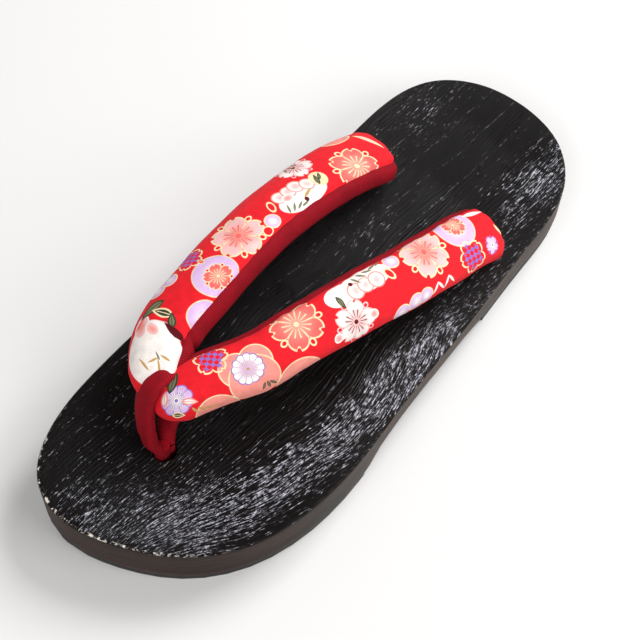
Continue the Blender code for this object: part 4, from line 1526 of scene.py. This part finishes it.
@dataclass
class Straps:
    """The padded V strap: printed cover, crimson lining, tails and knots."""

    medial: StrapArm
    lateral: StrapArm
    thong: "FrontThong"
    inner_seam: float = math.radians(36.0)
    outer_seam: float = math.radians(38.0)
    seam_depth: float = 0.0007
    seam_reach: float = 0.0011
    tuck: float = 0.0016
    pucker: float = 0.00012
    gather_length: float = 0.0016
    gather_reach: float = 0.003
    wave_length: float = 0.006
    wave_turns: float = 2.2
    wave_share: float = 0.9
    tail_folds: float = 11.0
    tail_fold_depth: float = 0.00035
    tail_fold_reach: float = 0.0035
    pinch: float = 0.0011
    pinch_reach: float = 0.0042
    pinch_rows: int = 40
    crease: tuple[tuple[float, float], tuple[float, float]] = ((25.5, 1.0), (20.5, -9.5))
    crease_depth: float = 0.0016
    crease_reach: float = 1.5
    crease_start: float = 0.35
    seeds: tuple[int, int] = (11, 31)
    cover_columns: int = 56
    lining_columns: int = 44

    def skin(self, arm: StrapArm, first: float, last: float, count: int, seed: int) -> tuple[np.ndarray, np.ndarray]:
        """One arm's strip of cloth between two seams, with its edges turned in.

        Args:
            arm: The arm.
            first: The strip's first seam, as an angle round the section.
            last: Its last seam.
            count: Points across the strip.
            seed: Chooses its puckers.

        Returns:
            The strip's points, and their places on the cloth.
        """
        angles = np.linspace(first, last, count)
        cloth = arm.cloth(angles)
        round_mm = cloth[..., 1]
        from_seam = np.minimum(np.abs(round_mm - round_mm[:, :1]), np.abs(round_mm - round_mm[:, -1:])) * MM
        groove = -self.seam_depth * np.exp(-(from_seam / self.seam_reach) ** 2)
        gathers = ripple(arm.places / self.gather_length, seed)[:, None] * np.exp(-from_seam / self.gather_reach)
        waves = ripple(arm.places / self.wave_length, seed + 1)[:, None]
        waves = waves * ripple(angles * self.wave_turns, seed + 2)[None, :]
        tail = np.exp(-(arm.total - arm.places) / self.tail_fold_reach)[:, None]
        tail = tail * np.cos(self.tail_folds * angles)[None, :]
        swell = groove + self.pucker * (gathers + self.wave_share * waves) + self.tail_fold_depth * tail
        points = self.squeezed(arm, arm.surface(angles, swell))
        if arm.arm is Arm.MEDIAL:
            points = self.creased(arm, points, cloth)
        inward = arm.centres[:, None, :] - points[:, [0, -1], :]
        tucked = points[:, [0, -1], :] + unit(inward) * self.tuck
        points = np.concatenate([tucked[:, :1], points, tucked[:, 1:]], axis=1)
        cloth = np.concatenate([cloth[:, :1], cloth, cloth[:, -1:]], axis=1)
        return points, cloth

    def squeezed(self, arm: StrapArm, points: np.ndarray) -> np.ndarray:
        """Points pressed in under the front thong.

        Args:
            arm: The arm.
            points: Its skin's points.

        Returns:
            The points, moved towards the arm's middle.
        """
        near = points[:self.pinch_rows].reshape(-1, 3)
        distance = nearest(near, self.thong.centres).reshape(points[:self.pinch_rows].shape[:2])
        press = self.pinch * np.exp(-(distance / self.pinch_reach) ** 2)
        inward = unit(arm.centres[:self.pinch_rows, None, :] - points[:self.pinch_rows])
        points[:self.pinch_rows] += inward * press[..., None]
        return points

    def creased(self, arm: StrapArm, points: np.ndarray, cloth: np.ndarray) -> np.ndarray:
        """Points with the trough where the medial arm bends behind the thong.

        Args:
            arm: The arm.
            points: Its skin's points.
            cloth: Their places on the cloth.

        Returns:
            The points, moved towards the arm's middle.
        """
        (start_along, start_round), (end_along, end_round) = self.crease
        run = np.array([end_along - start_along, end_round - start_round])
        away = cloth[..., :2] - (start_along, start_round)
        share = np.clip(away @ run / (run @ run), 0.0, 1.0)
        distance = np.linalg.norm(away - share[..., None] * run, axis=-1)
        press = self.crease_depth * np.exp(-(distance / self.crease_reach) ** 2)
        press = press * (self.crease_start + (1.0 - self.crease_start) * share)
        return points + unit(arm.centres[:, None, :] - points) * press[..., None]

    def strip_piece(self, name: str, span: tuple[float, float], count: int) -> bpy.types.Object:
        """A piece from both arms' strips.

        Args:
            name: The piece's name.
            span: Its two seams, as angles.
            count: Points across each strip.

        Returns:
            The piece.
        """
        points, cloth, faces = [], [], []
        for arm, seed in zip((self.medial, self.lateral), self.seeds):
            skin, places = self.skin(arm, *span, count, seed)
            start = sum(len(part) for part in points)
            rows, columns = skin.shape[:2]
            faces += [tuple(start + corner for corner in face) for face in grid_faces(rows, columns, False)]
            faces += [tuple(start + row * columns + column for column in range(columns)) for row in (0, rows - 1)]
            points.append(skin.reshape(-1, 3))
            cloth.append(places.reshape(-1, 3))
        piece = new_piece(name, np.vstack(points), faces, sharp_over=80.0)
        add_layer(piece, "cloth", np.vstack(cloth))
        return piece

    def build(self, cover_finishes: Sequence[bpy.types.Material],
              lining_finish: bpy.types.Material) -> list[bpy.types.Object]:
        """Make the strap's cover and lining and dress them.

        Args:
            cover_finishes: The printed cotton of the medial and of the lateral arm.
            lining_finish: The ribbed cotton.

        Returns:
            The pieces.
        """
        cover_span = (-self.outer_seam, math.pi - self.inner_seam)
        lining_span = (math.pi - self.inner_seam, 2.0 * math.pi - self.outer_seam)
        cover = self.strip_piece("strap_cover_cloth", cover_span, self.cover_columns)
        for finish in cover_finishes:
            cover.data.materials.append(finish)
        count = len(cover.data.polygons)
        cover.data.polygons.foreach_set("material_index", (np.arange(count) >= count // 2).astype(np.int32))
        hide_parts("strap_cover")
        lining = self.strip_piece("strap_lining_cloth", lining_span, self.lining_columns)
        lining.data.materials.append(lining_finish)
        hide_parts("strap_lining")
        made = [cover, lining]
        for arm in (self.medial, self.lateral):
            x, y = arm.rear_hole()
            knot = Knot(self.medial.board, f"{arm.arm.name.lower()}_tail", x, y).build(lining_finish)
            made.append(knot)
        return made


@dataclass
class Knot:
    """A strap's cord through the board, with its knot in the recess below."""

    board: Board
    name: str
    x: float
    y: float
    cord_radius: float = 0.0021
    turns: float = 2.25
    coil_radius: float = 0.0052
    coil_wobble: float = 0.06
    coil_sink: float = 0.00035
    clearance: float = 0.0004
    into_strap: float = 0.004
    above_ceiling: float = 0.0012
    bend_drop: float = 0.0035

    def build(self, finish: bpy.types.Material) -> bpy.types.Object:
        """Make the cord and its knot.

        Args:
            finish: The cord's cloth.

        Returns:
            The piece.
        """
        low = float(self.board.underside(np.array(self.x)))
        top = float(self.board.footbed(np.array(self.x), np.array(self.y)))
        ceiling = low + self.board.recess[1]
        angles = np.linspace(0.0, 2.0 * math.pi * self.turns, 90)
        radius = self.coil_radius * (1.0 + self.coil_wobble * np.sin(3.0 * angles))
        height = ceiling - self.cord_radius - self.clearance - self.coil_sink * angles / math.pi
        coil = np.stack([self.x + radius * np.cos(angles), self.y + radius * np.sin(angles),
                         np.maximum(height, low + self.cord_radius * 0.6)], axis=1)
        heights = np.linspace(top + self.into_strap, ceiling + self.above_ceiling, 12)
        drop = np.array([(self.x, self.y, height) for height in heights])
        bend = np.array([(self.x + self.coil_radius * s, self.y, ceiling + self.above_ceiling - self.bend_drop * s ** 2)
                         for s in (0.25, 0.55, 0.85)])
        line = cubic_through(np.vstack([drop[::3], bend, coil[2::5]]), closed=False, keys=3, steps=8)
        return sweep(self.name, line, lambda s, a: np.full_like(a, self.cord_radius), 16, finish)


def sweep(name: str, line: np.ndarray, radius: Callable[[np.ndarray, np.ndarray], np.ndarray], sides: int,
          finish: bpy.types.Material) -> bpy.types.Object:
    """A soft tube along a line.

    Args:
        name: The piece's name.
        line: The points that its middle follows.
        radius: Its radius for a distance and an angle.
        sides: Points round it.
        finish: Its material.

    Returns:
        The piece.
    """
    forward = unit(np.gradient(line, axis=0))
    frames = [np.cross(forward[0], [0.0, 1.0, 0.3])]
    for direction in forward[1:]:
        frames.append(frames[-1] - direction * np.dot(frames[-1], direction))
    side = unit(np.array(frames))
    other = np.cross(forward, side)
    angles = np.linspace(0.0, 2.0 * math.pi, sides, endpoint=False)
    distance = travelled(line)
    reach = radius(distance[:, None], np.broadcast_to(angles[None, :], (len(line), sides)))
    points = (line[:, None, :] + side[:, None, :] * (reach * np.cos(angles))[..., None]
              + other[:, None, :] * (reach * np.sin(angles))[..., None])
    piece = new_piece(name, points, tube_faces(len(line), sides))
    cloth = np.stack([np.broadcast_to(distance[:, None] / MM, reach.shape), angles[None, :] * reach / MM,
                      np.zeros_like(reach)], axis=-1)
    add_layer(piece, "cloth", cloth.reshape(-1, 3))
    piece.data.materials.append(finish)
    return piece


# The front thong

class Loop(NamedTuple):
    """A point of the front thong, from the hole over the V and back: shares of the named sizes."""

    ahead: float
    aside: float
    lift: float
    width: float
    thickness: float


THONG = (
    Loop(0.0100, -0.032, 0.15, 0.80, 0.90), Loop(0.0066, -0.067, 0.33, 0.98, 1.00),
    Loop(-0.0027, -0.093, 0.56, 1.00, 1.00), Loop(-0.0147, -0.107, 0.78, 1.00, 1.00),
    Loop(-0.0317, -0.107, 0.93, 0.94, 0.90), Loop(-0.0477, -0.097, 0.95, 0.80, 0.80),
    Loop(-0.0637, -0.085, 0.82, 0.66, 0.70), Loop(-0.0717, -0.071, 0.60, 0.62, 0.70),
    Loop(-0.0560, -0.078, 0.38, 0.78, 0.76), Loop(-0.0350, -0.058, 0.22, 0.80, 0.78),
    Loop(-0.0150, -0.022, 0.13, 0.60, 0.66),
)


@dataclass
class FrontThong:
    """The cloth loop that holds the V down between the toes."""

    board: Board
    rise: float = 0.030
    width: float = 0.0100
    thickness: float = 0.0055
    hole: tuple[float, float] = (0.825, -0.048)
    strand: tuple[float, float, float] = (0.47, 1.14, 0.81)
    strand_depth: float = 0.0030
    strand_stand: float = 0.0014
    roundness: float = 0.9
    folds: tuple[tuple[float, float, float], ...] = ((62.0, 0.20, 0.22), (118.0, 0.10, 0.25))
    wrinkle_depth: float = 0.00008
    wrinkle_length: float = 0.0011
    wrinkle_seed: int = 71
    stations: int = 130
    sides: int = 28

    def __post_init__(self) -> None:
        """Work out the loop's middle line."""
        size = self.board
        self.x, self.y = (self.hole[0] - 0.5) * size.length, self.hole[1] * size.width
        self.top = float(size.footbed(np.array(self.x), np.array(self.y)))
        rows = self.strands(1.0)
        for loop in THONG:
            x, y = self.x + loop.ahead * size.length, self.y + loop.aside * size.width
            rows.append((x, y, float(size.footbed(np.array(x), np.array(y))) + loop.lift * self.rise,
                         loop.width * self.width, loop.thickness * self.thickness))
        rows += reversed(self.strands(-1.0))
        curve = cubic_through(rows, closed=False, keys=3)
        self.samples = at_distances(curve, np.linspace(0.0, travelled(curve)[-1], self.stations))
        self.centres = self.samples[:, :3]

    def strands(self, ahead: float) -> list[tuple[float, ...]]:
        """The strand in the hole, on its front side for 1 and on its rear side for -1, from below.

        Args:
            ahead: 1 or -1.

        Returns:
            Rows of place, width and thickness.
        """
        clear = self.board.hole_radius - self.board.gap
        offset, wide, thick = (share * clear for share in self.strand)
        return [(self.x + ahead * offset, self.y, self.top + height, wide, thick)
                for height in (-self.strand_depth, self.strand_stand)]

    def build(self, finish: bpy.types.Material) -> list[bpy.types.Object]:
        """Make the loop and its knot and dress them.

        Args:
            finish: The thong's cloth.

        Returns:
            The pieces.
        """
        middle = self.centres.mean(axis=0)
        forward = unit(np.gradient(self.centres, axis=0))
        outward = self.centres - middle
        outward = unit(outward - forward * (outward * forward).sum(axis=1, keepdims=True))
        across = np.cross(forward, outward)
        angles = np.linspace(0.0, 2.0 * math.pi, self.sides, endpoint=False)
        wide = np.sign(np.cos(angles)) * np.abs(np.cos(angles)) ** self.roundness * self.samples[:, 3:4] / 2
        thick = np.sign(np.sin(angles)) * np.abs(np.sin(angles)) ** self.roundness * self.samples[:, 4:5] / 2
        fold = np.ones_like(angles)
        for turn, depth, breadth in self.folds:
            fold = fold - depth * np.exp(-((angles - math.radians(turn)) / breadth) ** 2)
        distance = travelled(self.centres)
        wrinkle = self.wrinkle_depth * ripple(distance / self.wrinkle_length, self.wrinkle_seed)[:, None]
        wrinkle = wrinkle * np.cos(angles * 2.0)[None, :]
        thick = thick * fold + wrinkle
        points = (self.centres[:, None, :] + across[:, None, :] * wide[..., None]
                  + outward[:, None, :] * thick[..., None])
        piece = new_piece("front_thong_cloth", points, tube_faces(self.stations, self.sides))
        around = np.cumsum(np.hypot(np.diff(wide, axis=1, prepend=wide[:, :1]),
                                    np.diff(thick, axis=1, prepend=thick[:, :1])), axis=1)
        along = np.broadcast_to(distance[:, None], around.shape)
        cloth = np.stack([along / MM, around / MM, np.zeros_like(around)], axis=-1)
        add_layer(piece, "cloth", cloth.reshape(-1, 3))
        piece.data.materials.append(finish)
        knot = Knot(self.board, "thong_knot", self.x, self.y).build(finish)
        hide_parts("front_thong")
        return [piece, knot]


# Rubber, studio and camera

@dataclass
class RubberPads:
    """The sheets under the toe and the heel, which keep their own solids."""

    nodes: tuple[str, ...] = ("front_rubber", "heel_rubber")

    def build(self, finish: bpy.types.Material) -> list[bpy.types.Object]:
        """Dress the sheets.

        Args:
            finish: The rubber.

        Returns:
            The sheets.
        """
        made = [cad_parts[name] for name in self.nodes]
        for node in made:
            for place in node.material_slots:
                place.material = finish
        return made


@dataclass
class Lamp:
    """A soft studio light."""

    name: str
    place: tuple[float, float, float]
    aim: tuple[float, float, float]
    size: tuple[float, float]
    watts: float
    colour: Colour = (1.0, 1.0, 1.0)

    def build(self) -> bpy.types.Object:
        """Make the light.

        Returns:
            The light.
        """
        data = bpy.data.lights.new(self.name, "AREA")
        data.shape, data.size, data.size_y = "RECTANGLE", *self.size
        data.energy, data.color = self.watts, self.colour
        light = bpy.data.objects.new(self.name, data)
        light.location = self.place
        light.rotation_euler = (Vector(self.aim) - Vector(self.place)).to_track_quat("-Z", "Y").to_euler()
        bpy.context.scene.collection.objects.link(light)
        return light


@dataclass
class Studio:
    """A pale floor, soft lights and the camera at the photograph's angle."""

    camera_place: tuple[float, float, float] = (0.2244, 0.1761, 0.5328)
    aim: tuple[float, float, float] = (0.004, 0.0, 0.020)
    photo_forward: tuple[float, float, float] = (-0.347, -0.3725, -0.8607)
    photo_up: tuple[float, float, float] = (-0.6242, -0.5933, 0.5083)
    lens: float = 92.0
    world_light: float = 0.24
    floor_half: float = 3.0
    lamps: tuple[Lamp, ...] = (
        Lamp("key_light", (-1.0, 0.1, 0.95), (0.0, 0.0, 0.0), (0.7, 0.7), 18.0),
        Lamp("side_light", (-0.3, 1.1, 0.9), (0.0, 0.0, 0.0), (0.8, 0.8), 8.0),
        Lamp("front_light", (1.0, 0.2, 1.0), (0.0, 0.0, 0.0), (1.0, 1.0), 9.0),
    )

    def build(self, finish: bpy.types.Material) -> None:
        """Set up the studio.

        Args:
            finish: The floor's paper.
        """
        half = self.floor_half
        data = bpy.data.meshes.new("studio_floor")
        data.from_pydata([(-half, -half, 0), (half, -half, 0), (half, half, 0), (-half, half, 0)], [], [(0, 1, 2, 3)])
        data.materials.append(finish)
        floor = bpy.data.objects.new("studio_floor", data)
        bpy.context.scene.collection.objects.link(floor)
        world = bpy.data.worlds.new("studio_light")
        world.use_nodes = True
        world.node_tree.nodes["Background"].inputs["Strength"].default_value = self.world_light
        world.node_tree.nodes["Background"].inputs["Color"].default_value = (1.0, 1.0, 1.0, 1.0)
        bpy.context.scene.world = world
        bpy.context.scene.view_settings.view_transform = "Standard"
        for lamp in self.lamps:
            lamp.build()
        bpy.context.scene.camera = self.camera()

    def camera(self) -> bpy.types.Object:
        """The camera, where the photograph's stood, turned on to the sandal by the shortest way.

        Returns:
            The camera.
        """
        data = bpy.data.cameras.new("camera")
        data.lens, data.sensor_width = self.lens, 36.0
        camera = bpy.data.objects.new("camera", data)
        before = Vector(self.photo_forward)
        forward = (Vector(self.aim) - Vector(self.camera_place)).normalized()
        turn = before.rotation_difference(forward)
        up = turn @ Vector(self.photo_up)
        right = forward.cross(up).normalized()
        up = right.cross(forward)
        axes = Matrix((right, up, -forward)).transposed().to_4x4()
        camera.matrix_world = Matrix.Translation(self.camera_place) @ axes
        bpy.context.scene.collection.objects.link(camera)
        return camera


def sandal() -> tuple[Board, FrontThong, Straps]:
    """The sandal's sub-assemblies, sized and placed but not yet built.

    Returns:
        The board, the front thong and the straps.
    """
    board = Board()
    thong = FrontThong(board)
    arms = [StrapArm(board, arm, pads) for arm, pads in ((Arm.MEDIAL, MEDIAL_ARM), (Arm.LATERAL, LATERAL_ARM))]
    return board, thong, Straps(*arms, thong)


def main() -> None:
    """Build the sandal and its studio in order, and report each piece."""
    logging.basicConfig(level=logging.INFO, format="%(name)s: %(message)s")
    groups = Groups()
    board, thong, straps = sandal()
    holes = [(thong.x, thong.y), straps.medial.rear_hole(), straps.lateral.rear_hole()]
    made = [board.build(holes, BlackFootbed().material(groups), StainedWall().material(groups))]
    made += RubberPads().build(BlackRubber().material(groups))
    made += straps.build([PrintedCotton(arm).material(groups) for arm in Arm], RibbedCotton().material(groups))
    made += thong.build(ThongCotton().material(groups))
    Studio().build(FloorPaper().material(groups))
    for piece in made:
        triangles = sum(len(face.vertices) - 2 for face in piece.data.polygons)
        log.info("%s: %d triangles, finish %s", piece.name, triangles, piece.material_slots[0].material.name)


if __name__ == "__main__":
    main()
